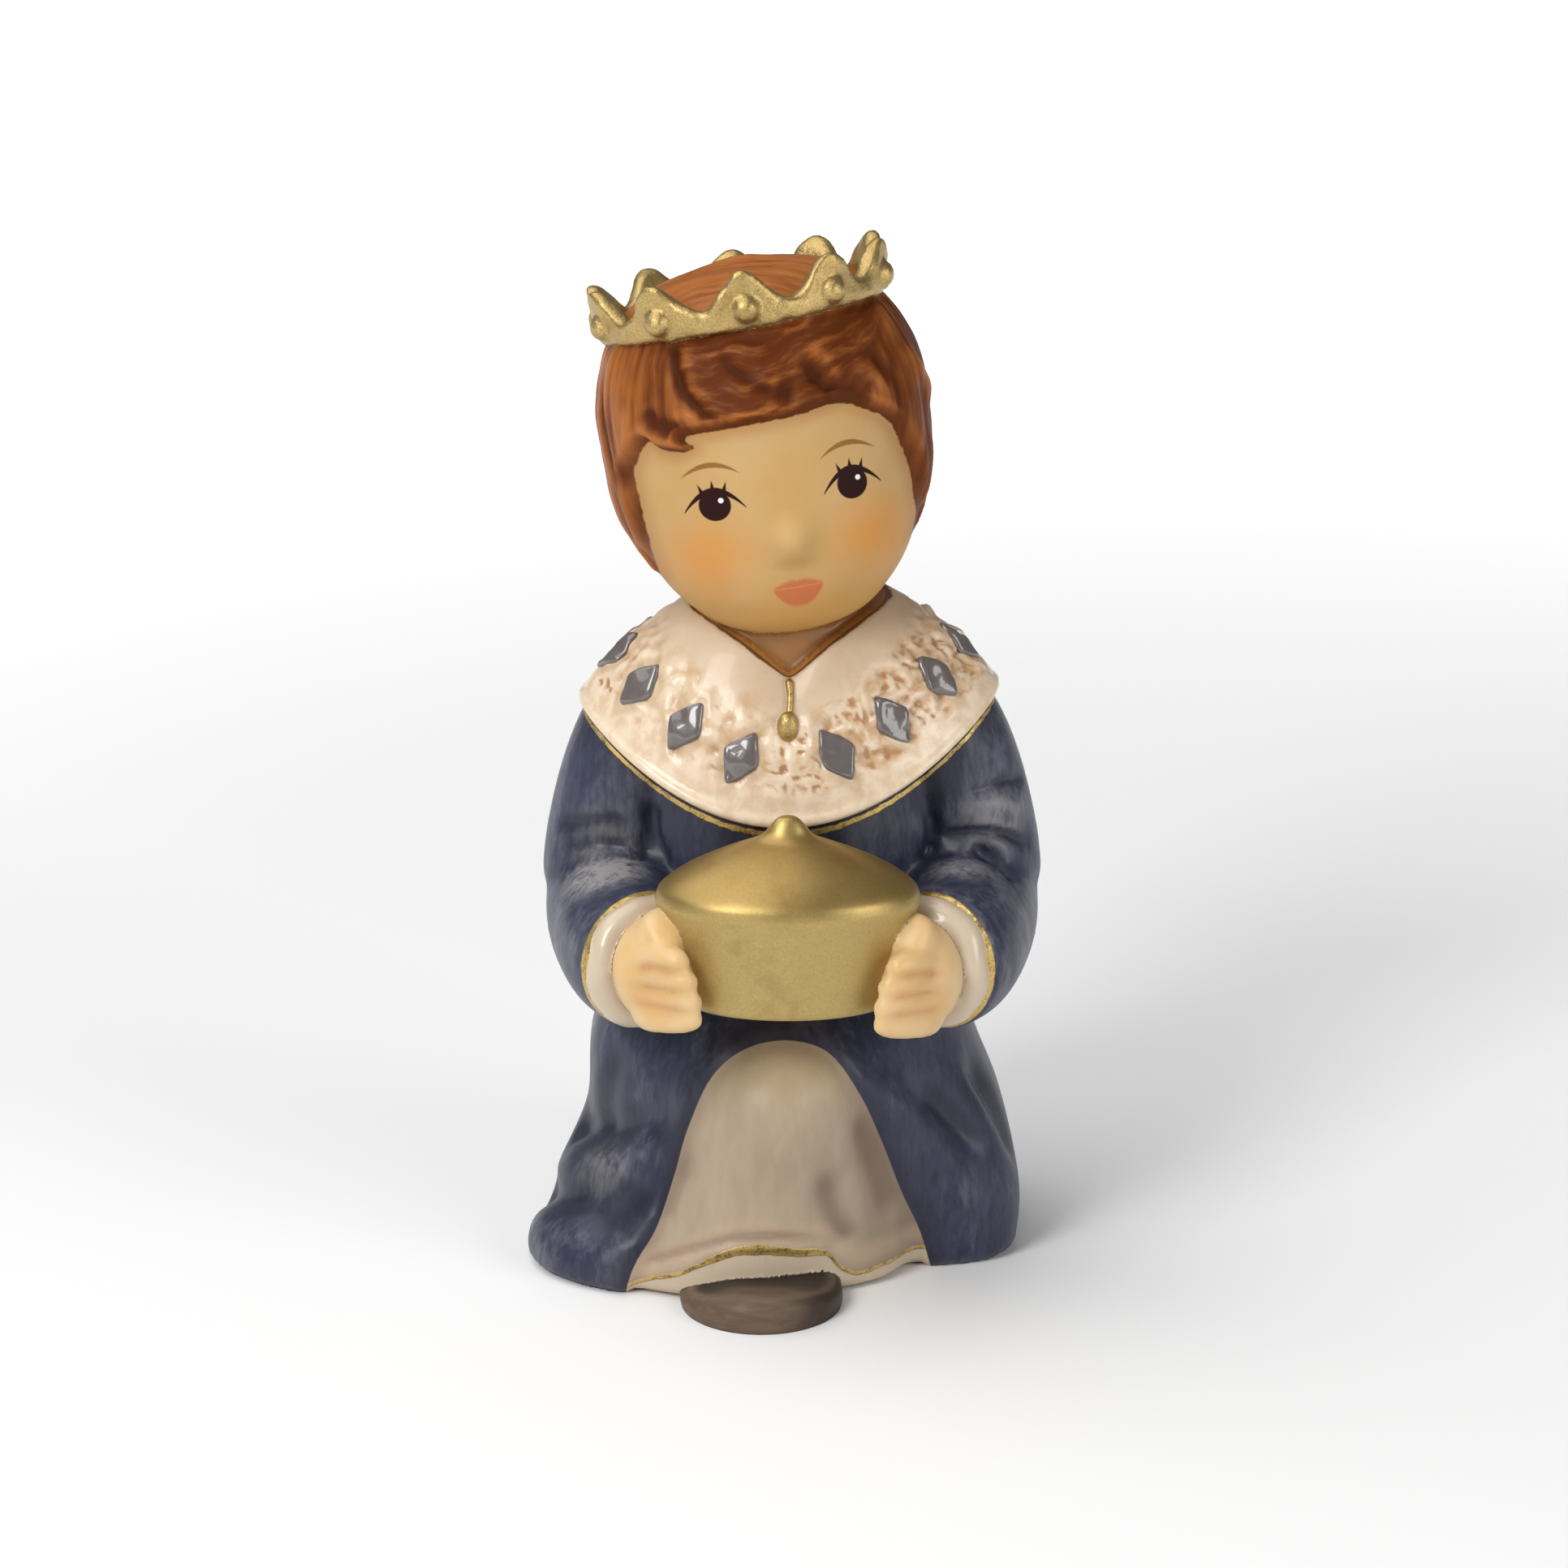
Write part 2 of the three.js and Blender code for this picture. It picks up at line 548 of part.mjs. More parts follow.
// Both of a pair: the right one and its mirror image, which may stand a little higher.
function pair(right, middle, lift = 0) {
  return right.add(right.mirror([1, 0, 0]).translate([0, 0, lift])).translate([middle, 0, 0]);
}

function castFigure() {
  let cast = coatAndRobe();
  cast = cast.add(pair(rightSleeve(), PAIR_MIDDLE));
  cast = cast.add(pair(solid(cuff()), HANDS_MIDDLE));
  cast = cast.add(pair(rightHand(), HANDS_MIDDLE, LEFT_HAND_LIFT));
  cast = cast.add(solid(vessel()));
  cast = cast.add(solid(collar()));
  for (const fromFront of DIAMOND_TURNS) {
    cast = cast.add(solid(diamond(fromFront, -1)));
    cast = cast.add(solid(diamond(fromFront, 1)));
  }
  cast = cast.add(clasp());
  cast = cast.add(solid(neck()));
  cast = cast.add(solid(head()));
  cast = cast.add(hair());
  cast = cast.add(crown());
  return cast.add(solid(shoe()));
}

function geometryOf(cast) {
  const mesh = cast.getMesh();
  const geometry = new THREE.BufferGeometry();
  geometry.setAttribute('position', new THREE.BufferAttribute(mesh.vertProperties, 3));
  geometry.setIndex(new THREE.BufferAttribute(mesh.triVerts, 1));
  geometry.computeVertexNormals();
  return geometry;
}

const paintedCeramic = new THREE.MeshStandardMaterial({ color: 0x565a6c, roughness: 0.35, metalness: 0 });
const figurine = new THREE.Mesh(geometryOf(castFigure()), paintedCeramic);
figurine.name = 'wise_man_figurine';

const group = new THREE.Group();
group.add(figurine);

export default group;
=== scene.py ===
# %% [markdown]
# A kneeling wise man for a nativity, cast and glazed
#
# The figure is taken to be about 83 mm high. Clay slip is poured into a plaster mould, so that the body, the
# head, the crown and the vessel come out as one hollow piece. It is fired, painted with a brush and
# glazed. This lesson models each form on its own, joins them into one skin as the mould does, and then
# paints that skin. Shapes are worked out in millimetres and made metres at the end.

# %% Open the frame
import math

import bpy
import numpy as np
from mathutils import Matrix, Vector, noise


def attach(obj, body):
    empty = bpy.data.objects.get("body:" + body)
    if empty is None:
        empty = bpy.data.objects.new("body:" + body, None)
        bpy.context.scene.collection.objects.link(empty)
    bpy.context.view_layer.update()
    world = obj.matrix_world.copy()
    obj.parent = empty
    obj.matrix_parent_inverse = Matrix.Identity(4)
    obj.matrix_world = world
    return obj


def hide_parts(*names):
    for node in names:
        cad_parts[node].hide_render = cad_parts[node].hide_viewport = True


MILLIMETRE = 0.001
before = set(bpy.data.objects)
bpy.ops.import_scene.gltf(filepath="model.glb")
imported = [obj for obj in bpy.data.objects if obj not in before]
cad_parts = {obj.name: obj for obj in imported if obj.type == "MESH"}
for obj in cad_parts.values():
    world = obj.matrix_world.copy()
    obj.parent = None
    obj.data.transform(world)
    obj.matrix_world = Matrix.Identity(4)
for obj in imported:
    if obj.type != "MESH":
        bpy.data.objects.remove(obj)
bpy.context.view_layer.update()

# %% [markdown]
# Most forms here are soft and free, as a sculptor's are, and no row of straight cuts gives them. So each
# starts as a primitive with enough faces, and its points are moved by a short rule with named sizes:
# a profile read smoothly between its rows, and strokes that press or raise the skin along a line, as a
# modelling tool does. Modifiers and edit mode do the rest.


# %% Tools for handling a piece
def deselect():
    """Back to object mode, with nothing selected."""
    if bpy.context.mode != "OBJECT":
        bpy.ops.object.mode_set(mode="OBJECT")
    bpy.ops.object.select_all(action="DESELECT")


def only(*pieces):
    """Selects these pieces alone. The first is the active one."""
    deselect()
    for piece in pieces:
        piece.select_set(True)
    bpy.context.view_layer.objects.active = pieces[0]


def named(name):
    """Names the piece that an operator has just made."""
    piece = bpy.context.object
    piece.name = name
    piece.data.name = name
    return piece


def points_of(piece):
    points = np.empty(len(piece.data.vertices) * 3, np.float32)
    piece.data.vertices.foreach_get("co", points)
    return points.reshape(-1, 3).astype(float)


def put_points(piece, points):
    piece.data.vertices.foreach_set("co", np.ravel(points).astype(np.float32))
    piece.data.update()


def faces(piece):
    """How many triangles a piece has."""
    return sum(len(face.vertices) - 2 for face in piece.data.polygons)

# %% [markdown]
# A profile is a short list of rows with a smooth curve through them, so that a form needs few numbers.
# Distances from a line or from an outline say where a tool or a brush has passed.


# %% Tools for lines and outlines
def trace(rows, key):
    """Smooth values between rows whose first number is the key."""
    rows = np.asarray(rows, float)
    key = np.clip(key, rows[0, 0], rows[-1, 0])
    i = np.clip(np.searchsorted(rows[:, 0], key, side="right") - 1, 0, len(rows) - 2)
    low, high = rows[i], rows[i + 1]
    before, after = rows[np.maximum(i - 1, 0)], rows[np.minimum(i + 2, len(rows) - 1)]
    gap = high[:, :1] - low[:, :1]
    t = (key[:, None] - low[:, :1]) / gap
    rise = high - low
    leave = (high - before) / (high[:, :1] - before[:, :1]) * gap
    arrive = (after - low) / (after[:, :1] - low[:, :1]) * gap
    bend = 3 * rise - 2 * leave - arrive
    twist = leave + arrive - 2 * rise
    return (low + t * (leave + t * (bend + t * twist)))[:, 1:]


def smooth_line(line, steps=6):
    """A smooth line through points, with so many steps from each to the next."""
    rows = [[i, *point] for i, point in enumerate(line)]
    return trace(rows, np.linspace(0, len(line) - 1, (len(line) - 1) * steps + 1))


def ease(value, low, high):
    """0 below low, 1 above high and smooth between."""
    t = np.clip((value - low) / (high - low), 0, 1)
    return t * t * (3 - 2 * t)


def along_line(line, points):
    """Distance of each point from a line, and how far along the line its nearest point is, from 0 to 1."""
    lengths = np.linalg.norm(np.diff(line, axis=0), axis=1)
    reached = np.concatenate([[0], np.cumsum(lengths)]) / lengths.sum()
    off = np.full(len(points), np.inf)
    share = np.zeros(len(points))
    for i, length in enumerate(lengths):
        step = line[i + 1] - line[i]
        t = np.clip((points - line[i]) @ step / length**2, 0, 1)
        apart = np.linalg.norm(points - line[i] - t[:, None] * step, axis=1)
        nearer = apart < off
        off = np.where(nearer, apart, off)
        share = np.where(nearer, reached[i] + t * (reached[i + 1] - reached[i]), share)
    return off, share


def outside(outline, flat):
    """Distance of flat points from a closed outline, negative inside it."""
    ring = np.vstack([outline, outline[:1]])
    off = along_line(ring, flat)[0]
    a, b = ring[:-1, None], ring[1:, None]
    crosses = (a[..., 1] > flat[:, 1]) != (b[..., 1] > flat[:, 1])
    rise = np.where(a[..., 1] == b[..., 1], 1, b[..., 1] - a[..., 1])
    at = a[..., 0] + (flat[:, 1] - a[..., 1]) * (b[..., 0] - a[..., 0]) / rise
    inside = np.sum(crosses & (flat[:, 0] < at), axis=0) % 2 == 1
    return np.where(inside, -off, off)

# %% [markdown]
# A sphere of rings is a closed skin that any plain form can be pulled into. Each of its points knows its
# turn round the axis and its level, and one short rule gives the place where it ends up.


# %% A closed form from a ball
def ball(name, around, up):
    """A sphere of rings, with the turn, the level and the end of each of its points. The level runs from 0
    at the lowest ring to 1 at the highest, and the end is -1 or 1 at the two poles."""
    deselect()
    bpy.ops.mesh.primitive_uv_sphere_add(segments=around, ring_count=up, radius=1)
    piece = named(name)
    unit = points_of(piece)
    ring = np.round(np.arccos(np.clip(-unit[:, 2], -1, 1)) / np.pi * up)
    end = np.where(ring == 0, -1, np.where(ring == up, 1, 0))
    return piece, (np.arctan2(unit[:, 1], unit[:, 0]), np.clip((ring - 1) / (up - 2), 0, 1), end)


def moulded(name, around, up, place):
    """A closed form. The rule for its places reads each point's turn, level and end."""
    piece, spots = ball(name, around, up)
    put_points(piece, place(*spots))
    return piece

# %% [markdown]
# The body is a bell of cloth with a knee raised in front and the other knee on the ground at the left.
# It is round enough to be read as a distance from a middle axis, so one profile with swellings gives
# coat and robe together. The robe is the same skin set back by the thickness of the coat inside the
# outline of the coat's opening, which leaves the soft edge that a thick coat has under glaze.

# %% The body, with the robe showing in the coat's opening
BODY_TOP = 51
BODY_SQUARENESS = 2.3
BODY = [  # height, then the reach to the left, right, front and back
    [0, 17.4, 18.0, 14.8, 19.5],
    [6, 17.0, 18.4, 14.8, 18.2],
    [12, 16.3, 17.2, 13.8, 16.2],
    [18, 16.0, 15.0, 12.0, 14.2],
    [24, 14.0, 14.0, 10.0, 12.0],
    [31, 12.6, 12.6, 9.0, 10.5],
    [39, 12.2, 12.2, 8.8, 9.6],
    [46, 10.6, 10.6, 7.0, 8.4],
    [51, 7.0, 7.0, 5.5, 6.0],
]
SWELLINGS = {  # direction in degrees from +X, spread, height, rise and reach
    "kneeling knee": (206, 30, 1.2, 5.0, 5.2),
    "thigh on the left": (190, 30, 7.0, 3.0, 0.9),
    "shin": (258, 28, 0.0, 17.0, 3.8),
    "raised knee": (269, 27, 17.5, 6.5, 5.6),
    "hollow beside the shin": (318, 13, 0.0, 12.0, -2.4),
    "trailing foot": (122, 24, 1.5, 5.0, 1.8),
    "coat corner": (340, 14, 2.5, 7.0, 1.2),
}
COAT_THICKNESS = 0.9
COAT_EDGE = [-0.2, 0.9]  # from the opening's outline, where the step from robe to coat starts and ends
FOOT_ROUNDING = 0.8
FRONT = -3  # only what lies in front of this Y can be robe
OPENING = smooth_line([
    [-13.6, -3.0], [-12.6, 2.0], [-10.6, 5.6], [-9.2, 9.6], [-8.0, 14.0], [-6.2, 18.2], [-3.6, 20.6],
    [-0.3, 21.4], [3.0, 20.4], [5.4, 17.2], [7.3, 12.6], [8.9, 8.0], [10.6, 3.4], [12.2, -3.0],
])


def body_reach(turn, height):
    """How far the skin is from the middle axis, in a direction and at a height."""
    left, right, front, back = trace(BODY, height).T
    across = np.abs(np.cos(turn)) / np.where(np.cos(turn) > 0, right, left)
    along = np.abs(np.sin(turn)) / np.where(np.sin(turn) > 0, back, front)
    reach = (across**BODY_SQUARENESS + along**BODY_SQUARENESS) ** (-1 / BODY_SQUARENESS)
    for direction, spread, middle, rise, out in SWELLINGS.values():
        aside = ((np.degrees(turn) - direction + 180) % 360 - 180) / spread
        reach += out * np.exp(-(aside**2) - ((height - middle) / rise) ** 2)
    return reach


def beyond_opening(points):
    """How far a point of the skin is outside the coat's opening, on the coat, or inside it, on the robe."""
    apart = outside(OPENING, points[:, [0, 2]])
    return np.where(points[:, 1] < FRONT, apart, np.maximum(apart, 3))


def body_skin(turn, level, end):
    """The rule for the body, with the robe set back and the foot of the cloth rounded."""
    height = level * BODY_TOP
    plain = body_reach(turn, height)
    points = np.column_stack([plain * np.cos(turn), plain * np.sin(turn), height])
    on_coat = ease(beyond_opening(points), *COAT_EDGE)
    under = 1 - height / FOOT_ROUNDING
    rounding = FOOT_ROUNDING * np.maximum(0, under) ** 2
    reach = plain - rounding - COAT_THICKNESS * (1 - on_coat)
    points[:, :2] *= (np.where(end == 0, reach, 0) / plain)[:, None]
    return points


body = moulded("body", 260, 130, body_skin)
print("body", faces(body), "faces")

# %% [markdown]
# A sleeve is two plump limbs that meet at the elbow. Both are swept along a line of points with a radius
# at each, and a voxel remesh at less than half a millimetre melts them into the body. That leaves the
# soft valleys between arm and chest that slip and glaze leave in a casting, and one even mesh to carve.

# %% Tools for finishing a piece and for making its pair
PAIR_MIDDLE = 0.25  # the plane between the arms
HANDS_MIDDLE = -0.1  # the plane between the hands


def finish_with(piece, kind, **settings):
    """Adds a modifier with these settings and applies it."""
    only(piece)
    modifier = piece.modifiers.new(kind.lower(), kind)
    for name, value in settings.items():
        setattr(modifier, name, value)
    bpy.ops.object.modifier_apply(modifier=modifier.name)


def merge(name, *pieces):
    """Joins pieces into one object, without melting them."""
    only(*pieces)
    bpy.ops.object.join()
    return named(name)


def mirrored(piece, middle=PAIR_MIDDLE, lift=0):
    """The same piece on the other side of the figure."""
    only(piece)
    bpy.ops.object.duplicate()
    other = named(piece.name + "_left")
    points = points_of(other)
    points[:, 0] = 2 * middle - points[:, 0]
    points[:, 2] += lift
    put_points(other, points)
    bpy.ops.object.mode_set(mode="EDIT")
    bpy.ops.mesh.select_all(action="SELECT")
    bpy.ops.mesh.flip_normals()
    bpy.ops.object.mode_set(mode="OBJECT")
    return other


def shifted(line, by=PAIR_MIDDLE):
    """A line of the right side, moved to where the plane of its pair stands."""
    return [[x + by, y, z] for x, y, z in line]

# %% Sleeves, melted into the body as the coat
UPPER_ARM = [[9.2, 0.2, 46.6], [12.0, 0.4, 41.0], [14.1, 0.3, 34.0], [14.8, -0.4, 27.2]]
UPPER_ARM_RADII = [5.2, 5.8, 5.7, 5.6]
FOREARM = [[14.8, 3.0, 29.4], [13.9, -4.0, 28.2], [12.7, -11.4, 27.8], [11.0, -14.7, 27.9]]
FOREARM_RADII = [5.2, 5.8, 5.6, 5.6]
LIMB_SIDE = [0.3, 0.9, 0.5]  # a way that no limb runs along
LIMB_END = 0.12  # how far along its dome the first ring lies
COAT_GRAIN = 0.42
COAT_SMOOTHING = 5


def limb(name, line, radii, dome, around, up):
    """A plump limb along a line, with radii spread along it. The dome is the share that each end takes."""
    path = smooth_line(line, 12)
    slopes = np.gradient(path, axis=0)
    steps = np.linspace(0, 1, len(path))
    radius_rows = np.column_stack([np.linspace(0, 1, len(radii)), radii])

    def place(turn, level, end):
        middle = np.column_stack([np.interp(level, steps, column) for column in path.T])
        along = np.column_stack([np.interp(level, steps, column) for column in slopes.T])
        along /= np.linalg.norm(along, axis=1)[:, None]
        aside = np.cross(LIMB_SIDE, along)
        aside /= np.linalg.norm(aside, axis=1)[:, None]
        over = np.cross(along, aside)
        from_end = np.minimum(1, np.minimum(level, 1 - level) / dome + LIMB_END)
        radius = trace(radius_rows, level)[:, 0] * np.sqrt(1 - (1 - from_end) ** 2)
        radius = np.where(end == 0, radius, 0)[:, None]
        return middle + radius * (aside * np.cos(turn)[:, None] + over * np.sin(turn)[:, None])

    return moulded(name, around, up, place)


upper_arm = limb("upper_arm", shifted(UPPER_ARM), UPPER_ARM_RADII, 0.22, 64, 48)
forearm = limb("forearm", shifted(FOREARM), FOREARM_RADII, 0.08, 64, 40)
coat = merge("coat", body, upper_arm, forearm, mirrored(upper_arm), mirrored(forearm))
finish_with(coat, "REMESH", mode="VOXEL", voxel_size=COAT_GRAIN)
finish_with(coat, "SMOOTH", factor=0.5, iterations=COAT_SMOOTHING)
print("coat", faces(coat), "faces")

# %% [markdown]
# Folds are carved after the remesh, so that they stay crisp. Each is a line of points with a width and a
# height, negative for a valley. The ends fade out unless they run off an edge. The back has fewer and
# plainer folds, because a mould maker spends no work where the figure is seldom seen.


# %% The modelling tool
TOOL_REACH = 2.2  # in widths of the stroke, beyond which it lifts nothing


def normals_of(piece):
    normals = np.empty(len(piece.data.vertices) * 3, np.float32)
    piece.data.vertices.foreach_get("normal", normals)
    return normals.reshape(-1, 3).astype(float)


def raise_skin(piece, height):
    """Moves each point outwards by its own height."""
    put_points(piece, points_of(piece) + normals_of(piece) * np.asarray(height)[:, None])


def stroke(points, line, width, height, fade=(0.25, 0.25)):
    """How far one stroke of the tool lifts each point; it fades over the given shares of its ends."""
    line = np.asarray(line, float)
    reach = TOOL_REACH * width
    near = np.all((points > line.min(0) - reach) & (points < line.max(0) + reach), axis=1)
    lift = np.zeros(len(points))
    off, share = along_line(line, points[near])
    start = ease(share, 0, fade[0]) if fade[0] else 1
    stop = ease(1 - share, 0, fade[1]) if fade[1] else 1
    lift[near] = height * np.exp(-((off / width) ** 2)) * start * stop
    return lift


def on_skin(piece, line, steps=6):
    """A smooth line through points, laid on the piece."""
    return np.array([piece.closest_point_on_mesh(Vector(point))[1] for point in smooth_line(line, steps)])


def carve(piece, strokes):
    """Strokes of the modelling tool: a line of points, a width, a height and where the ends fade."""
    height = np.zeros(len(piece.data.vertices))
    points = points_of(piece)
    for line, *size in strokes:
        height += stroke(points, on_skin(piece, line), *size)
    raise_skin(piece, height)

# %% [markdown]
# Thin paint runs off a ridge and gathers in a groove, and that shows in every colour of the figure, together
# with painted shade in the grooves and painted light on the ridges. So the same strokes also say where paint
# gathers and where shade and light are painted. Such a number is kept as a mark on the corners of the faces,
# because the unions further down carry those along, and the paints read it at the end.

# %% Marks on the skin
PAINT_SPREAD = 2.1  # in widths of the stroke
FULL_DEPTH = 0.35  # the depth of a valley that fills with paint and painted shade


def pooled(piece, strokes, spread=PAINT_SPREAD):
    """Where paint gathers and shade is painted: up to 1 in a valley, down to -1 on a ridge, which is painted
    lighter.
    """
    points = points_of(piece)
    pool_and_shade = np.zeros(len(points))
    for line, width, height, *fade in strokes:
        depth = -np.clip(height / FULL_DEPTH, -1, 1)
        pool_and_shade += stroke(points, on_skin(piece, line), spread * width, depth, *fade)
    return np.clip(pool_and_shade, -1, 1)


def mark(piece, name, values):
    """Keeps one number for each point, under a name."""
    corners = np.empty(len(piece.data.loops), np.int32)
    piece.data.loops.foreach_get("vertex_index", corners)
    layer = piece.data.attributes.new(name, "FLOAT", "CORNER")
    layer.data.foreach_set("value", np.asarray(values)[corners].astype(np.float32))

# %% Folds of the coat, the sleeves and the robe
COAT_FOLDS = [  # line, width, height, where it fades at its start and end
    ([[-9, -15, 16], [-14.6, -10, 12.6], [-17.4, -2, 9.9]], 1.6, -1.0, (0.3, 0)),
    ([[-14.6, -12, 8.2], [-18, -8, 5.6], [-20.4, -2, 4.2]], 1.5, -1.1, (0.3, 0)),
    ([[-13.6, -7.5, 19.4], [-14.3, -7, 15.6], [-15.4, -5.8, 10.1]], 1.6, -0.5, (0.3, 0.2)),
    ([[-9.7, -11.9, 16.1], [-11.8, -11.3, 11.4], [-13.5, -12.1, 7.2]], 1.3, 0.35, (0.3, 0.3)),
    ([[-11.2, -12.9, 9.9], [-13.5, -12.8, 6.4], [-16.4, -12.7, 3.6]], 1.5, -0.45, (0.3, 0.3)),
    ([[-13.1, -14.3, 4.9], [-14.8, -14.5, 2.2]], 1.2, 0.3, (0.3, 0.3)),
    ([[7, -15, 20], [12.6, -11.6, 11], [15.2, -10, 3.5]], 1.3, 0.6, (0.3, 0.2)),
    ([[9.6, -11, 17.5], [12.9, -9, 12.9], [16.4, -7.5, 8]], 1.2, -0.7, (0.4, 0.4)),
    ([[14.6, -6, 18], [17.8, -4.6, 12], [19, -3, 6]], 1.3, -0.7, (0.3, 0.3)),
    ([[-6, 12, 26], [-8, 17, 12], [-9, 20, 0]], 1.9, -1.1, (0.3, 0)),
    ([[1, 13, 22], [1.4, 17.6, 10], [2, 21, 0]], 2.2, 1.0, (0.3, 0)),
    ([[8, 12, 26], [9.4, 16.6, 12], [11, 19, 0]], 1.9, -1.1, (0.3, 0)),
    ([[-14.4, 4, 22], [-17, 7, 11], [-17.4, 11, 0]], 1.8, -0.9, (0.3, 0)),
    ([[14.2, 5, 22], [17, 7.6, 12], [17.4, 10, 0]], 1.8, -0.9, (0.3, 0)),
]
SLEEVE_FOLDS = [
    ([[10.9, -4.9, 35.1], [14.5, -4.9, 35.7], [17.3, -4.1, 35.2], [19.6, -2.1, 33.4]], 0.55, -0.7),
    ([[14.2, -5, 34.8], [16.2, -5, 33.1], [17.7, -6.9, 31.5]], 0.6, -0.95),
    ([[12.5, -4.4, 37.2], [15.8, -4.2, 37.8], [18.8, -2.1, 36.6]], 0.8, 0.45),
    ([[13.4, -4.6, 38.7], [16.4, -3.4, 39.3], [19.0, -0.5, 38.8]], 0.6, -0.35),
    ([[-18.3, -2.9, 33.9], [-15.2, -4.9, 34.8], [-12.6, -5.2, 34.4]], 0.7, -0.45),
    ([[-18.6, -2.1, 35.4], [-14.9, -4.6, 36.5], [-12.2, -4.6, 36.6]], 0.7, -0.45),
    ([[-10.9, -4.8, 38.6], [-10.6, -5.1, 35.6], [-9.3, -6.5, 32.9]], 0.5, -0.45),
    ([[11.6, -4.2, 38.0], [11.5, -4.4, 35.6], [10.7, -5.4, 32.6]], 0.5, -0.45),
]
ROBE_FOLDS = [
    ([[5.2, -14.9, 17.0], [6.0, -14.4, 14.0], [6.9, -13.8, 11.2], [7.8, -13.3, 8.2], [8.8, -12.7, 4.6]],
     1.15, -0.46, (0.3, 0.25)),
    ([[4.6, -15, 11.6], [5.4, -14.6, 8.6], [6.2, -14.2, 5.0]], 0.9, 0.2, (0.5, 0.4)),
    ([[2.2, -15.9, 13.0], [2.9, -15.8, 10.0], [3.7, -15.5, 7.0], [5.2, -14.9, 3.6]], 1.1, -0.36, (0.4, 0.2)),
    ([[-12.6, -14.0, 1.9], [-9.6, -15.5, 3.5], [-7.0, -16.5, 4.7], [-4.1, -17.4, 5.7], [-0.4, -17.3, 5.7],
      [2.6, -16.6, 5.1], [4.2, -15.9, 3.9]], 0.42, -0.32, (0.15, 0.3)),
    ([[-9.8, -14.8, 5.6], [-9.0, -15.0, 9.6], [-7.6, -15.0, 14.0]], 0.9, -0.16, (0.3, 0.4)),
    ([[-8.2, -15.2, 6.0], [-7.2, -15.4, 10.0]], 0.9, 0.16, (0.4, 0.4)),
]
HEM = [  # the gold line over the robe's hem: X and height
    [-14.2, 0.2], [-13.2, 0.7], [-11.6, 1.4], [-8.7, 2.4], [-6.3, 3.7], [-4.1, 4.6], [-1.9, 4.7],
    [0.8, 4.2], [3.0, 3.8], [4.2, 2.3], [5.5, 1.6], [7.8, 1.8], [11.1, 2.0], [13, 2.0],
]
HEM_STEP = 0.2
NEAR_GROUND = 0.12
COAT_KEEP = 0.44


# %% The folds carved, and the hem set back a little
def above_hem(points):
    """How far a point is above the gold line of the hem."""
    return points[:, 2] - trace(HEM, points[:, 0])[:, 0]


def settle(piece):
    """Presses the lowest points flat onto the ground."""
    points = points_of(piece)
    points[points[:, 2] < NEAR_GROUND, 2] = 0
    put_points(piece, points)


CLOTH_FOLDS = COAT_FOLDS + SLEEVE_FOLDS + ROBE_FOLDS
carve(coat, CLOTH_FOLDS)
places = points_of(coat)
on_robe = ease(-beyond_opening(places), 0.1, 0.7) * (places[:, 1] < FRONT)
raise_skin(coat, HEM_STEP * on_robe * (ease(above_hem(places), -0.35, 0.35) - 1))
settle(coat)
finish_with(coat, "DECIMATE", ratio=COAT_KEEP)
print("carved", len(CLOTH_FOLDS), "folds into the coat, now", faces(coat), "faces")

# %% [markdown]
# A fur cuff is a fat ring round the wrist. A torus is the obvious start. It is pulled a little out of
# round with noise, because fur modelled in clay is never a lathe shape.

# %% Cuffs
CUFF_MIDDLE = [11.1, -14.5, 27.95]
CUFF_RING = 4.0
CUFF_FAT = 1.4
CUFF_TURN = 32
FUR_UNEVENNESS = 0.14


def grain(points, size, seed=0, detail=1):
    """Soft noise between about -1 and 1 at places in any space, with lumps of the given size."""
    spots = np.asarray(points) / size + seed
    if detail == 1:
        return 2 * np.array([noise.noise(spot) for spot in spots])
    return 2 * np.array([noise.fractal(spot, 0.6, 2.0, detail) for spot in spots])


def cuff():
    deselect()
    bpy.ops.mesh.primitive_torus_add(
        major_segments=64, minor_segments=20, major_radius=CUFF_RING, minor_radius=CUFF_FAT,
        location=shifted([CUFF_MIDDLE], HANDS_MIDDLE)[0], rotation=(math.pi / 2, 0, -math.radians(CUFF_TURN)))
    piece = named("cuff")
    bpy.ops.object.transform_apply()
    raise_skin(piece, FUR_UNEVENNESS * grain(points_of(piece), 2.4, 3))
    return piece


right_cuff = cuff()
cuffs = merge("cuffs", right_cuff, mirrored(right_cuff, HANDS_MIDDLE))
print("cuffs", faces(cuffs), "faces")

# %% [markdown]
# A hand is a palm, four fingers and a thumb. They are separate limbs first, and a fine remesh with some
# smoothing melts them together, until only the soft grooves of a glazed hand are left between them.

# %% Hands
PALM_MIDDLE = [9.9, -17.4, 27.9]
PALM_REACH = [3.9, 4.4, 4.4]
FINGERS = [[29.9, 1.45, 8.0], [28.2, 1.55, 7.3], [26.5, 1.5, 6.9], [25.1, 1.3, 6.8]]
FINGER_TIP_Y = -23.2
FINGER_SLOPE = 0.2
THUMB_RADII = [1.8, 2.05, 2.0]
LEFT_HAND_LIFT = 0.45
HAND_GRAIN = 0.3
HAND_SMOOTHING = 10
HAND_KEEP = 0.6
FINGER_GROOVE = {"width": 0.5, "height": -0.3, "fades": (0.3, 0.4)}
FINGER_PAINT_SPREAD = 1.3


def lump(name, around, up, at, reach, turn=0):
    """A ball of clay at a place, with its reach along its own three ways."""
    deselect()
    bpy.ops.mesh.primitive_uv_sphere_add(
        segments=around, ring_count=up, radius=1, location=at, rotation=(0, 0, turn))
    piece = named(name)
    bpy.ops.transform.resize(value=reach, orient_type="LOCAL")
    bpy.ops.object.transform_apply()
    return piece


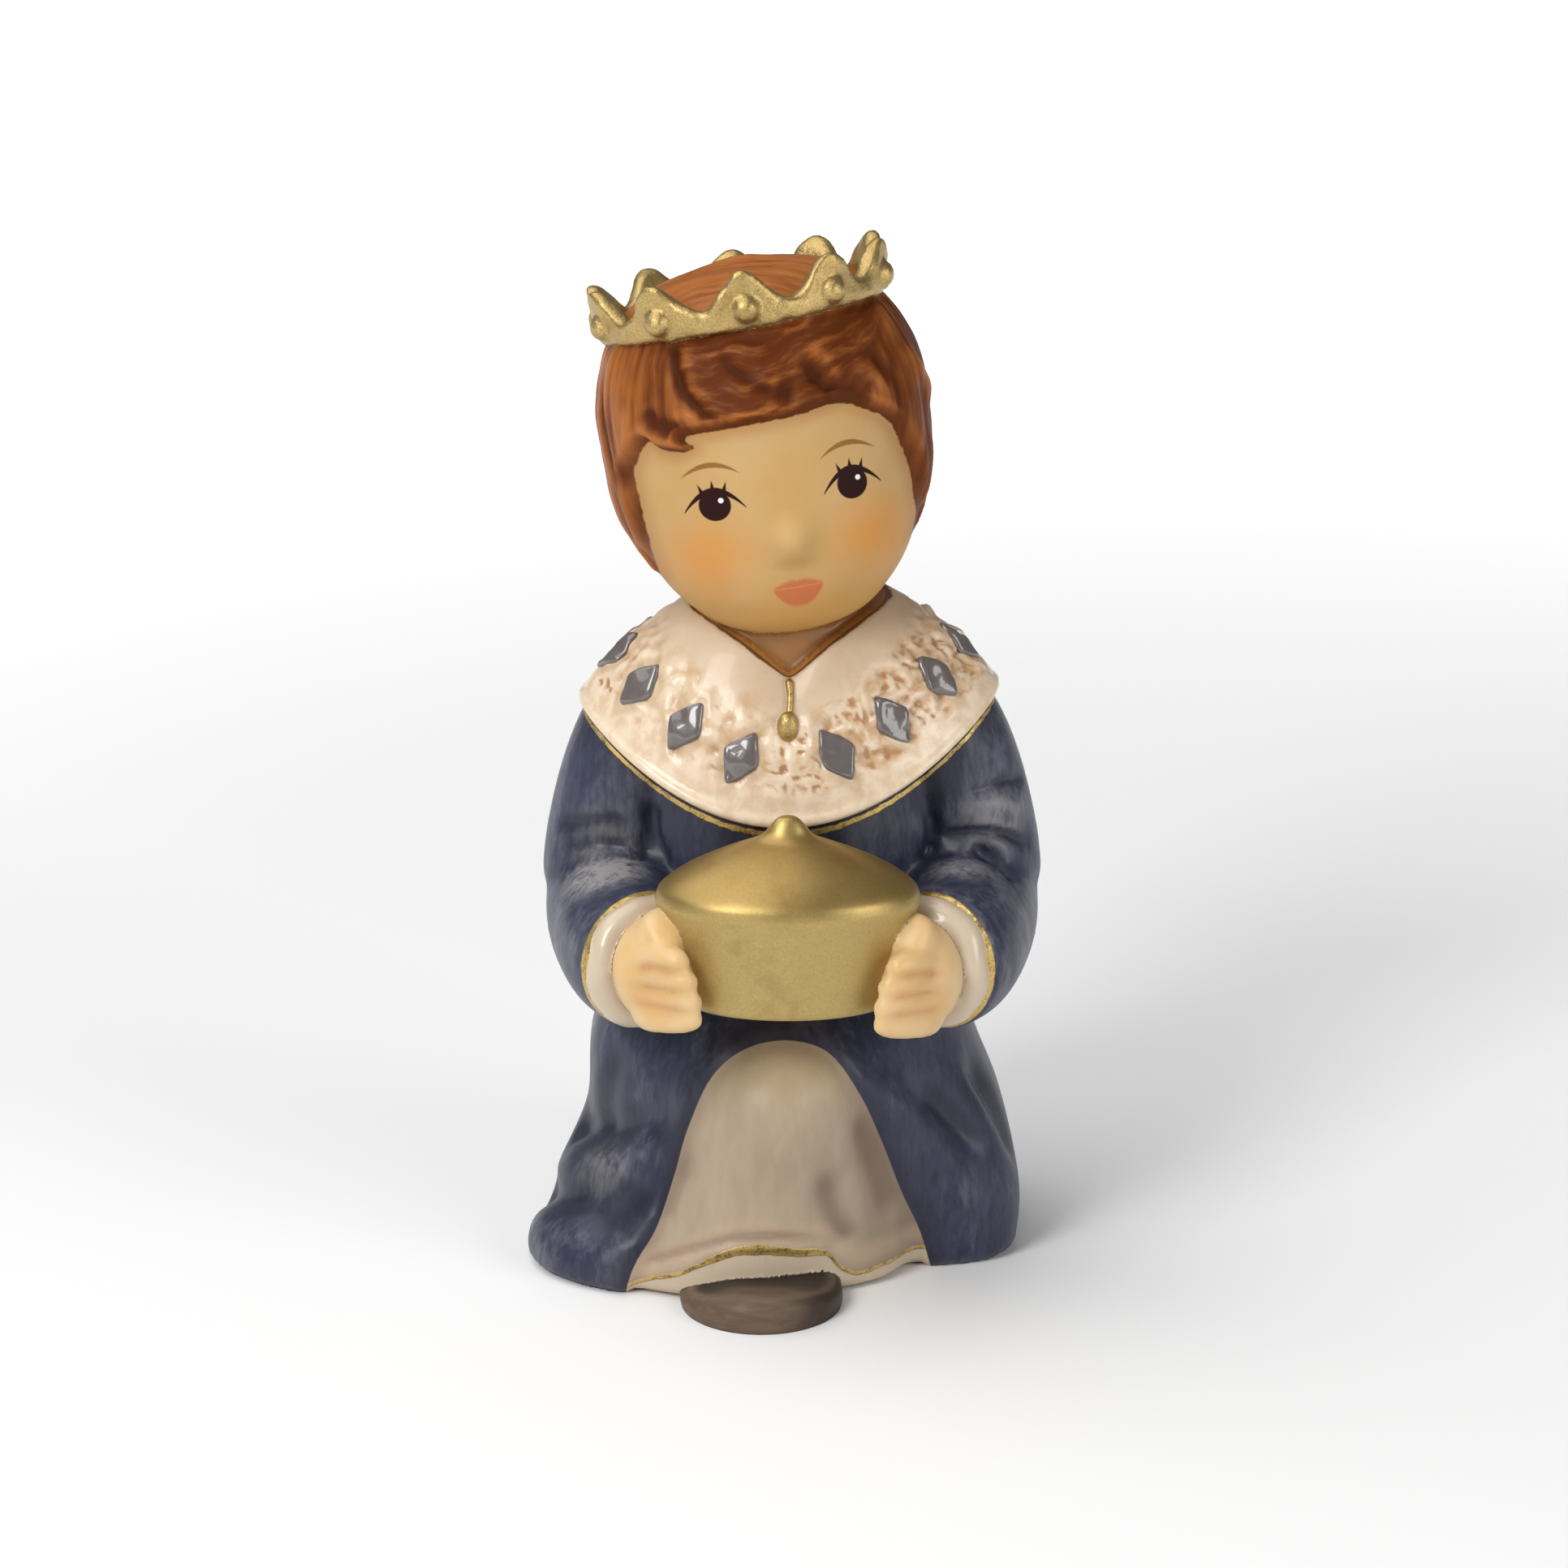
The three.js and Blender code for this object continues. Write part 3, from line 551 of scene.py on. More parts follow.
def sloped(height, y):
    """The fingers drop a little towards the wrist, so that they look level from above."""
    return height - FINGER_SLOPE * (y - FINGER_TIP_Y - 2)


def fingers_and_thumb(x, y, z):
    """Four fingers and a thumb, from the middle of the palm."""
    limbs = []
    for height, radius, tip in FINGERS:
        line = [[x + 1.0, y + 0.6], [x + 0.6, y - 2.6], [tip + HANDS_MIDDLE, FINGER_TIP_Y]]
        line = [[*spot, sloped(height, spot[1])] for spot in line]
        limbs.append(limb("finger", line, [radius, radius, radius * 0.85], 0.3, 20, 16))
    thumb = [[x + 0.6, y + 0.2, z + 1.0], [x - 0.1, y - 1.6, z + 3.2], [x - 0.8, y - 2.6, z + 4.7]]
    return limbs + [limb("thumb", thumb, THUMB_RADII, 0.3, 24, 20)]


def finger_grooves(x, y):
    """A stroke in each of the three gaps between the fingers."""
    grooves = []
    for (upper, _, _), (lower, _, tip) in zip(FINGERS, FINGERS[1:]):
        line = [[tip, FINGER_TIP_Y], [x - 1.2, y - 6], [x + 1.6, y - 5], [x + 4.4, y - 3]]
        line = [[*spot, sloped((upper + lower) / 2, spot[1])] for spot in line]
        grooves.append((line, *FINGER_GROOVE.values()))
    return grooves


def hand():
    """The right hand, melted into one form, with grooves between its fingers."""
    x, y, z = shifted([PALM_MIDDLE], HANDS_MIDDLE)[0]
    palm = lump("palm", 48, 24, (x, y, z), PALM_REACH)
    piece = merge("hand", palm, *fingers_and_thumb(x, y, z))
    finish_with(piece, "REMESH", mode="VOXEL", voxel_size=HAND_GRAIN)
    finish_with(piece, "SMOOTH", factor=0.5, iterations=HAND_SMOOTHING)
    finish_with(piece, "DECIMATE", ratio=HAND_KEEP)
    grooves = finger_grooves(x, y)
    mark(piece, "pooled", pooled(piece, grooves, FINGER_PAINT_SPREAD))
    carve(piece, grooves)
    return piece


right_hand = hand()
hands = merge("hands", right_hand, mirrored(right_hand, HANDS_MIDDLE, LEFT_HAND_LIFT))
print("hands", faces(hands), "faces")

# %% [markdown]
# The vessel and its lid were thrown as a round model, so they are spun: a profile drawn from the foot to
# the knob, turned round its axis in edit mode, and squeezed a little from front to back.

# %% The lidded vessel
VESSEL_MIDDLE = [-0.1, -17.0, 25.5]
VESSEL_DEPTH_SHARE = 0.66
VESSEL_STEPS = 84
VESSEL_PROFILE = [  # radius and height above the foot
    [0, 0], [4, 0.02], [7.6, 0.08], [8.45, 0.55], [8.8, 1.8], [9.3, 4.0], [9.85, 6.4], [10.2, 7.8],
    [10.38, 8.4], [10.32, 8.9], [9.9, 9.7], [8.1, 11.0], [5.7, 12.15], [3.7, 12.95], [2.5, 13.4],
    [1.8, 13.9], [1.35, 14.5], [0.75, 15.1], [0, 15.3],
]


def spun(name, profile, steps, squash=1):
    """Turns a profile of radii and heights round the upright axis."""
    deselect()
    outline = smooth_line(profile, 3)
    mesh = bpy.data.meshes.new(name)
    links = [(i, i + 1) for i in range(len(outline) - 1)]
    mesh.from_pydata([(radius, 0, height) for radius, height in outline], links, [])
    piece = bpy.data.objects.new(name, mesh)
    bpy.context.collection.objects.link(piece)
    only(piece)
    bpy.ops.object.mode_set(mode="EDIT")
    bpy.ops.mesh.select_all(action="SELECT")
    bpy.ops.mesh.spin(steps=steps, angle=2 * math.pi, center=(0, 0, 0), axis=(0, 0, 1))
    bpy.ops.mesh.select_all(action="SELECT")
    bpy.ops.mesh.remove_doubles(threshold=0.001)
    bpy.ops.mesh.normals_make_consistent(inside=False)
    bpy.ops.object.mode_set(mode="OBJECT")
    points = points_of(piece)
    points[:, 1] *= squash
    put_points(piece, points)
    return piece


vessel = spun("vessel", VESSEL_PROFILE, VESSEL_STEPS, VESSEL_DEPTH_SHARE)
put_points(vessel, points_of(vessel) + VESSEL_MIDDLE)
print("vessel", faces(vessel), "faces")

# %% [markdown]
# The ermine collar is a shell that runs from a V at the throat to a rounded edge on the shoulders. Its
# skin is given by a turn round the neck and a share of the way out. Fur is shown as lumps and pits in a
# broad band, while the outer border and the lapels at the throat stay smooth.

# %% The form of the collar
COLLAR_NECK = {"reach": 8.0, "front": 8.4, "back": 7.4, "height": 54.0}
COLLAR_V = {"dip": 4.6, "spread": 0.52, "point": 1.3}
COLLAR_EDGE = {
    "reach": 16.5, "front": 12.2, "back": 12.0, "height": 46.7, "front_drop": 7.6, "back_drop": 5.4,
}
COLLAR_BOW = {"side": 0.32, "front": 0.42}
COLLAR_TILT = 0.032
COLLAR_THICKNESS = 0.9
COLLAR_UNDER = 0.18  # the level below which the skin is the edge and the underside
COLLAR_ROUND = {"levels": 0.1, "bulge": 0.35, "tuck": 2.5}
COLLAR_AROUND = 300
COLLAR_UP = 50
COLLAR_POLES = [44, 51]  # the heights at which the shell closes, out of sight in the body and the neck


def collar_place(turn, share):
    """A place on the collar, from a turn round the neck and a share of the way out to the edge."""
    turn, share = np.broadcast_arrays(np.asarray(turn, float), np.asarray(share, float))
    c, s = np.cos(turn), np.sin(turn)
    ahead, behind = np.maximum(0, -s), np.maximum(0, s)
    neck, edge = COLLAR_NECK, COLLAR_EDGE
    from_front = np.arccos(np.clip(-s, -1, 1))
    opened = np.exp(-((from_front / COLLAR_V["spread"]) ** COLLAR_V["point"]))
    inner = [neck["reach"] * c, np.where(s > 0, neck["back"], neck["front"]) * s,
             neck["height"] - COLLAR_V["dip"] * opened]
    drop = edge["front_drop"] * ahead**2.2 + edge["back_drop"] * behind**2.2
    outer = [edge["reach"] * c, np.where(s > 0, edge["back"], edge["front"]) * s, edge["height"] - drop]
    bow = COLLAR_BOW["side"] + (COLLAR_BOW["front"] - COLLAR_BOW["side"]) * ahead
    out = share + bow * (np.sin(share * np.pi / 2) - share)
    down = share + bow * (1 - np.cos(share * np.pi / 2) - share)
    x = inner[0] + (outer[0] - inner[0]) * out
    y = inner[1] + (outer[1] - inner[1]) * out
    return np.stack([x, y, inner[2] + (outer[2] - inner[2]) * down + COLLAR_TILT * x], axis=-1)


def collar_share(level):
    """The share of the way out, from the level on the ball. Its lowest rings are the underside."""
    return np.clip(1 - (level - COLLAR_UNDER) / (1 - COLLAR_UNDER), 0, 1)


def collar_skin(turn, level, end):
    """The rule for the collar, with a rounded edge and an underside that runs back into the body."""
    points = collar_place(turn, collar_share(level))
    length = np.hypot(points[:, 0], points[:, 1])
    round_edge = np.clip((COLLAR_UNDER - level) / COLLAR_ROUND["levels"], 0, 1)
    tucked = ease(0.08 - level, 0, 0.08)
    outward = COLLAR_ROUND["bulge"] * np.sin(np.pi * round_edge) - COLLAR_ROUND["tuck"] * tucked
    points[:, :2] *= (1 + outward / length)[:, None]
    points[:, 2] -= COLLAR_THICKNESS * (1 - np.cos(np.pi * round_edge)) / 2
    points[end < 0] = [0, 0, COLLAR_POLES[0]]
    points[end > 0] = [0, 0, COLLAR_POLES[1]]
    return points


# %% The fur on the collar
PITS = {"apart": 1.25, "width": 0.42, "depth": 0.44, "bend": 0.7}


def fur(turn, share, points):
    """Lumps and pits of the fur, with the parts that stay smooth."""
    ahead = np.maximum(0, -np.sin(turn))
    band = ease(share, 0.1 + 0.22 * ahead, 0.24 + 0.28 * ahead) * ease(1 - share, 0.1, 0.18)
    clusters = np.exp(-((np.abs(points[:, 0] - 1) / 5) ** 2)) + ease(points[:, 0], 3, 9)
    patches = ease(grain(points, 4, 7) + 1.7 * clusters * ahead - 0.6, -0.2, 0.5)
    lumps = 0.17 * grain(points, 2.1, 2, 1) + 0.1 * grain(points, 0.95, 5, 1)
    bent = points + PITS["bend"] * np.stack([grain(points, 1.4, seed) for seed in (31, 32, 33)], axis=1)
    from_pit = np.array([noise.voronoi(spot / PITS["apart"])[0][0] for spot in bent])
    pits = PITS["depth"] * patches * np.exp(-((from_pit / PITS["width"]) ** 2))
    return band * (1.2 * lumps - pits)


collar, (turn, level, end) = ball("collar", COLLAR_AROUND, COLLAR_UP)
put_points(collar, collar_skin(turn, level, end))
share_out = collar_share(level)
raise_skin(collar, fur(turn, share_out, points_of(collar)) * (level > COLLAR_UNDER))
mark(collar, "share_out", share_out + np.maximum(0, 1 - level / COLLAR_UNDER) - (end > 0))
print("collar", faces(collar), "faces")

# %% [markdown]
# Fourteen dark diamonds stand for the ermine tails. Each starts as a small grid turned on its corner, is
# given its thickness and a bevel, and is then laid on the collar point by point so that it follows the
# curve.

# %% The diamonds' places
DIAMOND_TURNS = [15, 34.5, 57, 85, 119, 142, 165]
DIAMOND_PLACE = {"side": 0.6, "front": 0.71}
DIAMOND_SIZE = [3.15, 4.75]
DIAMOND_PROUD = 0.42
DIAMOND_LEAN = {"side": -14, "front": -25}
DIAMOND_ROUNDNESS = 1.16
DIAMOND_BEVEL = 0.24
DIAMOND_DOMING = 0.25
DIAMOND_SUNK = 0.8


def diamond_turns():
    """The side and the turn of each diamond."""
    return [(side, math.radians(side * turn - 90)) for side in (-1, 1) for turn in DIAMOND_TURNS]


def between(ends, share):
    """A value between the one for the side and the one for the front."""
    return ends["side"] + (ends["front"] - ends["side"]) * share


def diamond_frame(side, turn):
    """Where a diamond lies on the collar, and the ways across it, down it and out there."""
    ahead = max(0, -math.sin(turn))
    share = between(DIAMOND_PLACE, ahead**2)
    lean = side * math.radians(between(DIAMOND_LEAN, ahead**4))
    at = collar_place(turn, share)
    down = collar_place(turn, share + 0.01) - at
    down /= np.linalg.norm(down)
    out = np.cross(down, collar_place(turn + 0.01, share) - at)
    out /= np.linalg.norm(out)
    aside = np.cross(out, down)
    c, s = math.cos(lean), math.sin(lean)
    return at, aside * c + down * s, down * c - aside * s, out


# %% One diamond, and its copies laid on the collar
def diamond_blank():
    """A flat bevelled diamond, one millimetre thick."""
    deselect()
    bpy.ops.mesh.primitive_grid_add(x_subdivisions=6, y_subdivisions=6, size=1)
    piece = named("diamond")
    bpy.ops.transform.rotate(value=math.pi / 4, orient_axis="Z", center_override=(0, 0, 0))
    bpy.ops.object.transform_apply()
    bpy.ops.transform.resize(value=(DIAMOND_SIZE[0] / math.sqrt(2), DIAMOND_SIZE[1] / math.sqrt(2), 1))
    bpy.ops.object.transform_apply()
    bpy.ops.object.mode_set(mode="EDIT")
    bpy.ops.mesh.select_all(action="SELECT")
    bpy.ops.mesh.extrude_region_move(TRANSFORM_OT_translate={"value": (0, 0, 1)})
    bpy.ops.mesh.select_all(action="SELECT")
    bpy.ops.mesh.normals_make_consistent(inside=False)
    bpy.ops.object.mode_set(mode="OBJECT")
    finish_with(
        piece, "BEVEL", width=DIAMOND_BEVEL, segments=2, limit_method="ANGLE", angle_limit=math.radians(40))
    return piece


def laid(blank, side, turn):
    """A copy of the blank, with its corners rounded, laid on the collar."""
    at, aside, down, out = diamond_frame(side, turn)
    only(blank)
    bpy.ops.object.duplicate()
    piece = named("diamond")
    points = points_of(piece)
    shares = np.abs(points[:, :2]) * 2 / DIAMOND_SIZE
    reach = shares.sum(1)
    soft = np.sum(shares**DIAMOND_ROUNDNESS, axis=1) ** (1 / DIAMOND_ROUNDNESS)
    flat = points[:, :2] * (reach / np.maximum(soft, 1e-6))[:, None]
    flat = at + flat[:, :1] * aside + flat[:, 1:] * down
    low = np.array([collar.closest_point_on_mesh(Vector(spot))[1] for spot in flat])
    top = DIAMOND_PROUD * (1 - DIAMOND_DOMING * reach) + points[:, 2] - 1
    height = np.where(points[:, 2] > 0.5, top, points[:, 2] - DIAMOND_SUNK)
    put_points(piece, low + height[:, None] * out)
    return piece


blank = diamond_blank()
diamonds = merge("diamonds", *[laid(blank, *where) for where in diamond_turns()])
bpy.data.objects.remove(blank)
print("diamonds", faces(diamonds), "faces")

# %% [markdown]
# At the point of the V a gold cord ends in a drop. On the real figure both are modelled on the collar, so
# here they are a thin limb and a lump that sink into it.

# %% The clasp
CORD_RADII = [0.38, 0.28, 0.28]
DROP_REACH = (0.88, 0.72, 1.25)


def clasp():
    """A gold cord down from the point of the V with a drop at its end."""
    top, low = collar_place(-math.pi / 2, 0.02), collar_place(-math.pi / 2, 0.34)
    middle = collar_place(-math.pi / 2, 0.18)
    line = [top + [0, -0.1, 0.1], middle + [0.1, -0.2, 0], low + [0, -0.25, 0]]
    cord = limb("cord", line, CORD_RADII, 0.1, 12, 16)
    return cord, lump("drop", 20, 12, low + [-0.1, -0.35, -0.8], DROP_REACH)


cord, drop = clasp()
print("cord", faces(cord), "faces, drop", faces(drop), "faces")

# %% [markdown]
# The head tips to the left, looks up and turns a little. It is modelled upright in its own frame and
# turned at the end, which keeps every size readable. An icosphere gives even faces all over, and only
# the faces that will be hair are subdivided, because the face is smooth and hair is not.


# %% Tools for finer faces
def select_faces(piece, wanted):
    """Selects the faces whose middles the rule wants, in edit mode."""
    only(piece)
    middles = np.empty(len(piece.data.polygons) * 3, np.float32)
    piece.data.polygons.foreach_get("center", middles)
    for part in (piece.data.vertices, piece.data.edges, piece.data.polygons):
        part.foreach_set("select", np.zeros(len(part), bool))
    piece.data.polygons.foreach_set("select", wanted(middles.reshape(-1, 3).astype(float)))
    bpy.ops.object.mode_set(mode="EDIT")
    bpy.ops.mesh.select_mode(type="FACE")


def refine(piece, wanted):
    """Cuts the wanted faces into four."""
    select_faces(piece, wanted)
    bpy.ops.mesh.subdivide(number_cuts=1)
    bpy.ops.object.mode_set(mode="OBJECT")


def directions(piece):
    """The way from the middle of a ball to each of its points."""
    points = points_of(piece)
    return points / np.linalg.norm(points, axis=1)[:, None]

# %% The head's form and its hair line
HEAD_MIDDLE = [-1.8, -0.4, 67.4]
HEAD_TURN = (
    Matrix.Rotation(math.radians(4), 4, "Z")
    @ Matrix.Rotation(math.radians(-8), 4, "X")
    @ Matrix.Rotation(math.radians(-8.5), 4, "Y")
)
HEAD = [  # height on the head, then the reach to the side, front and back
    [-15.7, 0.6, 3.0, 0],
    [-14.9, 4.9, 7.6, 3.0],
    [-13.0, 7.7, 10.2, 6.4],
    [-10.0, 10.0, 11.7, 9.4],
    [-6.0, 11.4, 12.5, 11.8],
    [-1.0, 12.0, 12.6, 13.2],
    [4.0, 11.9, 12.0, 13.2],
    [8.4, 10.1, 10.0, 11.2],
    [11.6, 6.4, 6.4, 6.9],
    [12.9, 0.6, 0.6, 0.8],
]
HEAD_WIDTH = 12.5
NOSE = {"at": [0, -12.6, -7.4], "width": 1.6, "height": 1.15}
HAIR_THICKNESS = 1.15
HAIR_TAPER = [-11.5, -2]
HAIR_END = {"height": -9.8, "slope": 10}
HAIRLINE = smooth_line([  # X and height on the head, round the face from the left jaw to the right
    [-4.0, -22], [-9.0, -13.0], [-10.3, -8.7], [-10.7, -5.6], [-10.9, -2.6], [-11.0, -0.9], [-10.3, 0.6],
    [-9.5, 1.6], [-8.9, 1.1], [-7.9, 0.7], [-6.9, 0.6], [-6.2, 0.9], [-6.8, 1.3], [-6.6, 1.75],
    [-4.7, 1.95], [-0.3, 2.1], [2.2, 2.2], [4.3, 2.5], [5.8, 2.35], [7.4, 1.5], [8.75, 0.5],
    [9.5, -0.8], [10.2, -3.6], [10.35, -6.6], [9.9, -9.6], [4.0, -22],
], 4)


def in_hair(points):
    """Distance from the edge of the hair, positive in the hair."""
    from_face = outside(HAIRLINE, points[:, [0, 2]])
    slope = math.radians(HAIR_END["slope"])
    from_nape = points[:, 1] * math.sin(slope) + points[:, 2] * math.cos(slope) - HAIR_END["height"]
    return np.minimum(np.where(points[:, 1] < -1.5, from_face, 9), from_nape)


def head_form(unit):
    """The bald head, from the ways out of a ball."""
    height = HEAD[0][0] + (HEAD[-1][0] - HEAD[0][0]) * (1 + unit[:, 2]) / 2
    side, front, back = trace(HEAD, height).T
    length = np.maximum(np.hypot(unit[:, 0], unit[:, 1]), 1e-9)
    c, s = unit[:, 0] / length, unit[:, 1] / length
    return np.column_stack([side * c, np.where(s > 0, back, front) * s, height])


deselect()
bpy.ops.mesh.primitive_ico_sphere_add(subdivisions=6, radius=1)
head = named("head")
refine(head, lambda middles: (in_hair(head_form(middles)) > -0.9) & (middles[:, 1] < 0.7))
bare = head_form(directions(head))
put_points(head, bare)
raise_skin(head, NOSE["height"] * np.exp(-(np.linalg.norm(bare - NOSE["at"], axis=1) / NOSE["width"]) ** 2))
print("head", faces(head), "faces")

# %% [markdown]
# Hair in ceramic is a thick cap with grooves. It is built up in three sizes: the cap itself, broad locks
# and deep recesses as strokes, and strands as noise drawn out along the way the hair falls. The fringe
# sweeps sideways across the forehead and everything else falls from the crown. A soft wave bends the
# strands, because straight ones look combed by a machine.

# %% Locks of the hair
HAIR_STROKES = [  # line in the head's own frame, width, height, fades
    ([[-6.3, -8.6, 9.0], [-6.5, -9.9, 6.6], [-6.3, -10.7, 5.3], [-5.6, -11.5, 4.1], [-4.6, -12.2, 3.1],
      [-3.4, -12.8, 2.5]], 0.57, -0.33, (0.1, 0.2)),
    ([[-5.4, -9.2, 9.0], [-5.5, -10.6, 6.6], [-5.2, -11.3, 5.2], [-4.4, -12.0, 4.2], [-3.2, -12.6, 3.4]],
     0.75, 0.16, (0.2, 0.3)),
    ([[-3.2, -10.6, 8.4], [-2.6, -11.6, 6.8], [-1.6, -12.2, 5.7], [-0.4, -12.7, 4.7], [1.0, -12.9, 3.7]],
     0.61, -0.22, (0.25, 0.2)),
    ([[0.2, -12.8, 4.4], [1.2, -12.8, 4.0], [2.2, -12.7, 3.7]], 1.08, -0.31, (0.4, 0.4)),
    ([[2.4, -11.7, 6.6], [3.5, -12.0, 5.4], [4.2, -12.1, 4.2], [5.3, -11.9, 3.3], [6.7, -11.3, 2.4],
      [8.2, -10.4, 1.4]], 0.74, -0.35, (0.2, 0.2)),
    ([[4.2, -12.0, 4.0], [5.6, -11.7, 3.2], [7.2, -11.0, 2.2]], 1.22, -0.22, (0.3, 0.3)),
    ([[3.4, -10.9, 7.6], [4.0, -11.2, 6.7], [4.6, -11.4, 5.8], [5.2, -11.5, 4.9], [6.2, -11.3, 4.0]],
     0.8, 0.22, (0.3, 0.3)),
    ([[6.4, -10.8, 5.2], [7.8, -10.1, 4.4], [8.8, -9.6, 3.2], [9.2, -9.4, 1.6]], 0.6, 0.16, (0.3, 0.3)),
    ([[6.9, -9.8, 6.6], [8.8, -8.8, 5.0], [9.9, -8.3, 3.0], [10.2, -8.4, 0.6], [10.7, -7.4, -3.0]],
     0.68, -0.22, (0.3, 0.3)),
    ([[10.9, -5.6, 6.0], [12.0, -4.6, 3.4], [12.9, -3.0, 1.6], [12.9, -1.6, -0.6]], 1.0, 0.42, (0.4, 0.4)),
    ([[-9.3, -8.7, 4.6], [-9.1, -9.2, 3.4], [-8.3, -10.1, 2.7], [-7.0, -11.1, 2.5], [-5.6, -11.9, 2.6]],
     0.74, -0.37, (0.2, 0.35)),
    ([[-10.2, -7.7, 3.8], [-9.7, -8.8, 2.2], [-8.6, -10.1, 1.4], [-7.0, -11.2, 1.3]], 0.6, 0.18, (0.3, 0.2)),
    ([[-7.7, -10.4, 3.5], [-6.4, -11.2, 3.4], [-5.0, -12.0, 3.1]], 0.5, 0.14, (0.3, 0.3)),
    ([[-11.4, -4.6, 5.2], [-11.9, -4.6, 2.6], [-11.9, -4.8, -0.6], [-12.0, -3.4, -4.0]],
     0.68, -0.18, (0.3, 0.3)),
    ([[-11.3, -6.4, -2.0], [-11.6, -4.8, -5.0], [-11.0, -2.6, -8.0]], 0.61, -0.18, (0.3, 0.3)),
    ([[-12.9, 0.2, 7.0], [-13.2, 0.6, 2.0], [-12.6, 0.8, -3.0], [-11.0, 1.6, -8.0]], 0.81, -0.2, (0.3, 0.3)),
    ([[12.6, 1.0, 6.0], [13.0, 1.4, 1.0], [12.4, 1.6, -4.0], [10.8, 2.0, -8.6]], 0.81, -0.2, (0.3, 0.3)),
]
BACK_LOCKS = 15
BACK_FROM = -8  # degrees, a little in front of the right side
BACK_ROUND = 196
BACK_REACH = [13.6, 14.4]
BACK_SWAY = [[9.5, 0], [5, 0.6], [0, 1], [-5, 0.4], [-9, -0.4]]  # height, and the share of the sway there
BACK_GROOVE = {"width": 0.7, "shallow": -0.26, "deep": -0.36, "fades": (0.25, 0.15)}


def back_strokes():
    """Grooves between the locks that fall down the back and sides. Every third is deeper."""
    made = []
    for i in range(BACK_LOCKS):
        turn = math.radians(BACK_FROM + BACK_ROUND * i / (BACK_LOCKS - 1))
        sway = 0.16 * math.sin(2.3 * i)
        line = []
        for height, lean in BACK_SWAY:
            angle = turn + sway * lean
            line.append([BACK_REACH[0] * math.cos(angle), BACK_REACH[1] * math.sin(angle), height])
        depth = BACK_GROOVE["shallow" if i % 3 else "deep"]
        made.append((line, BACK_GROOVE["width"], depth, BACK_GROOVE["fades"]))
    return made

# %% The way the strands run
STRAND_DEPTH = 0.05
STRAND_SIZES = [(1.8, 2.2, 3), (0.75, 1.3, 0), (0.4, 0.5, 5)]  # width, weight, and a shift of the noise
FRINGE_EXTRA = 0.7
LOCK_DEPTH = 1.2
HAIR_PAINT_SPREAD = 1.25
FLOW_PULL = 0.17
FRINGE_PULL = 0.3
FRINGE_BOW = [0.17, 0.02]
DOME_SLOPE = 0.3
DOME_EDGE = [8.9, 9.9]
WAVE = {"size": 2.4, "reach": 0.36}
PARTING = [  # height on the head and X, where the fringe starts
    [0, -3.2], [2.5, -3.5], [3.2, -4.7], [4.1, -5.7], [5.3, -6.3], [7.9, -6.4], [14, -6.4],
]


def flow_places(x, y, z, reach, wave):
    """Places in which noise turns into strands, for what falls, the fringe and the dome inside the crown.
    The wave bends the strands into locks. The sums work with rows of numbers and with wires of a paint."""
    slope, bow = FRINGE_BOW
    falling = (x / reach + wave * 0.4, y / reach, z * FLOW_PULL)
    fringe = (z - x * slope - (x - 1) ** 2 * bow + wave, z * 0, x * FRINGE_PULL)
    dome = (y + x * DOME_SLOPE, z * 0, x * FLOW_PULL)
    return falling, fringe, dome


def hair_flow(points, wave):
    """The three kinds of places for points on the head, and how far the fringe and the dome take over."""
    x, y, z = points.T
    reach = np.maximum(np.hypot(x, y), 0.1) / HEAD_WIDTH
    places = [np.column_stack(place) for place in flow_places(x, y, z, reach, wave)]
    left = trace(PARTING, z)[:, 0]
    sideways = ease(x - left, -0.3, 0.5) * ease(7.6 + 0.35 * (z - 3) - x, -0.5, 0.9) * (y < 0)
    return *places, sideways, ease(z, *DOME_EDGE)


def strands(flow, seed):
    """Three sizes of strands, from noise at places that are squeezed along the flow."""
    return sum(weight * grain(flow / width, 1, seed + shift) for width, weight, shift in STRAND_SIZES)

# %% The hair carved
wave = WAVE["reach"] * grain(bare, WAVE["size"], 41)
falling, fringe, dome, sideways, on_dome = hair_flow(bare, wave)
inside_hair = in_hair(bare)
cap = HAIR_THICKNESS * ease(bare[:, 2], *HAIR_TAPER) * ease(inside_hair, -0.05, 0.75)
put_points(head, points_of(head) * (1 + cap / HEAD_WIDTH)[:, None])
hair_strokes = HAIR_STROKES + back_strokes()
pool_and_shade = pooled(head, hair_strokes, HAIR_PAINT_SPREAD)
locks = sum(stroke(points_of(head), on_skin(head, line), *size) for line, *size in hair_strokes)
combed = (1 - sideways) * strands(falling, 1) + sideways * strands(fringe, 11)
combed += on_dome * (strands(dome, 21) - combed)
soft_edge = ease(inside_hair, 0.1, 0.9)
strand_depth = STRAND_DEPTH * (1 + FRINGE_EXTRA * sideways)
raise_skin(head, soft_edge * (LOCK_DEPTH * locks + strand_depth * combed))
finish_with(head, "SMOOTH", factor=0.25, iterations=1)
hair_marks = {"in_hair": inside_hair, "combed": combed, "wave": wave, "pooled": pool_and_shade, "sideways": sideways}
for name, values in hair_marks.items():
    mark(head, name, values)
print("hair carved with", len(hair_strokes), "strokes")

# %% The head in its place, on its neck
NECK_RADII = [8.9, 7.9, 6.6, 6.4]


def placed(piece, turn, middle):
    """Turns a piece from its own frame into its place on the figure."""
    put_points(piece, points_of(piece) @ np.array(turn)[:3, :3].T + middle)


def neck_form():
    """The neck, from inside the collar up into the head."""
    x, y, _ = HEAD_MIDDLE
    line = [[0, 0.3, 46], [0, 0.2, 49.5], [x * 0.3, y, 53.5], [x * 0.6, y, 60]]
    return limb("neck", line, NECK_RADII, 0.1, 96, 40)


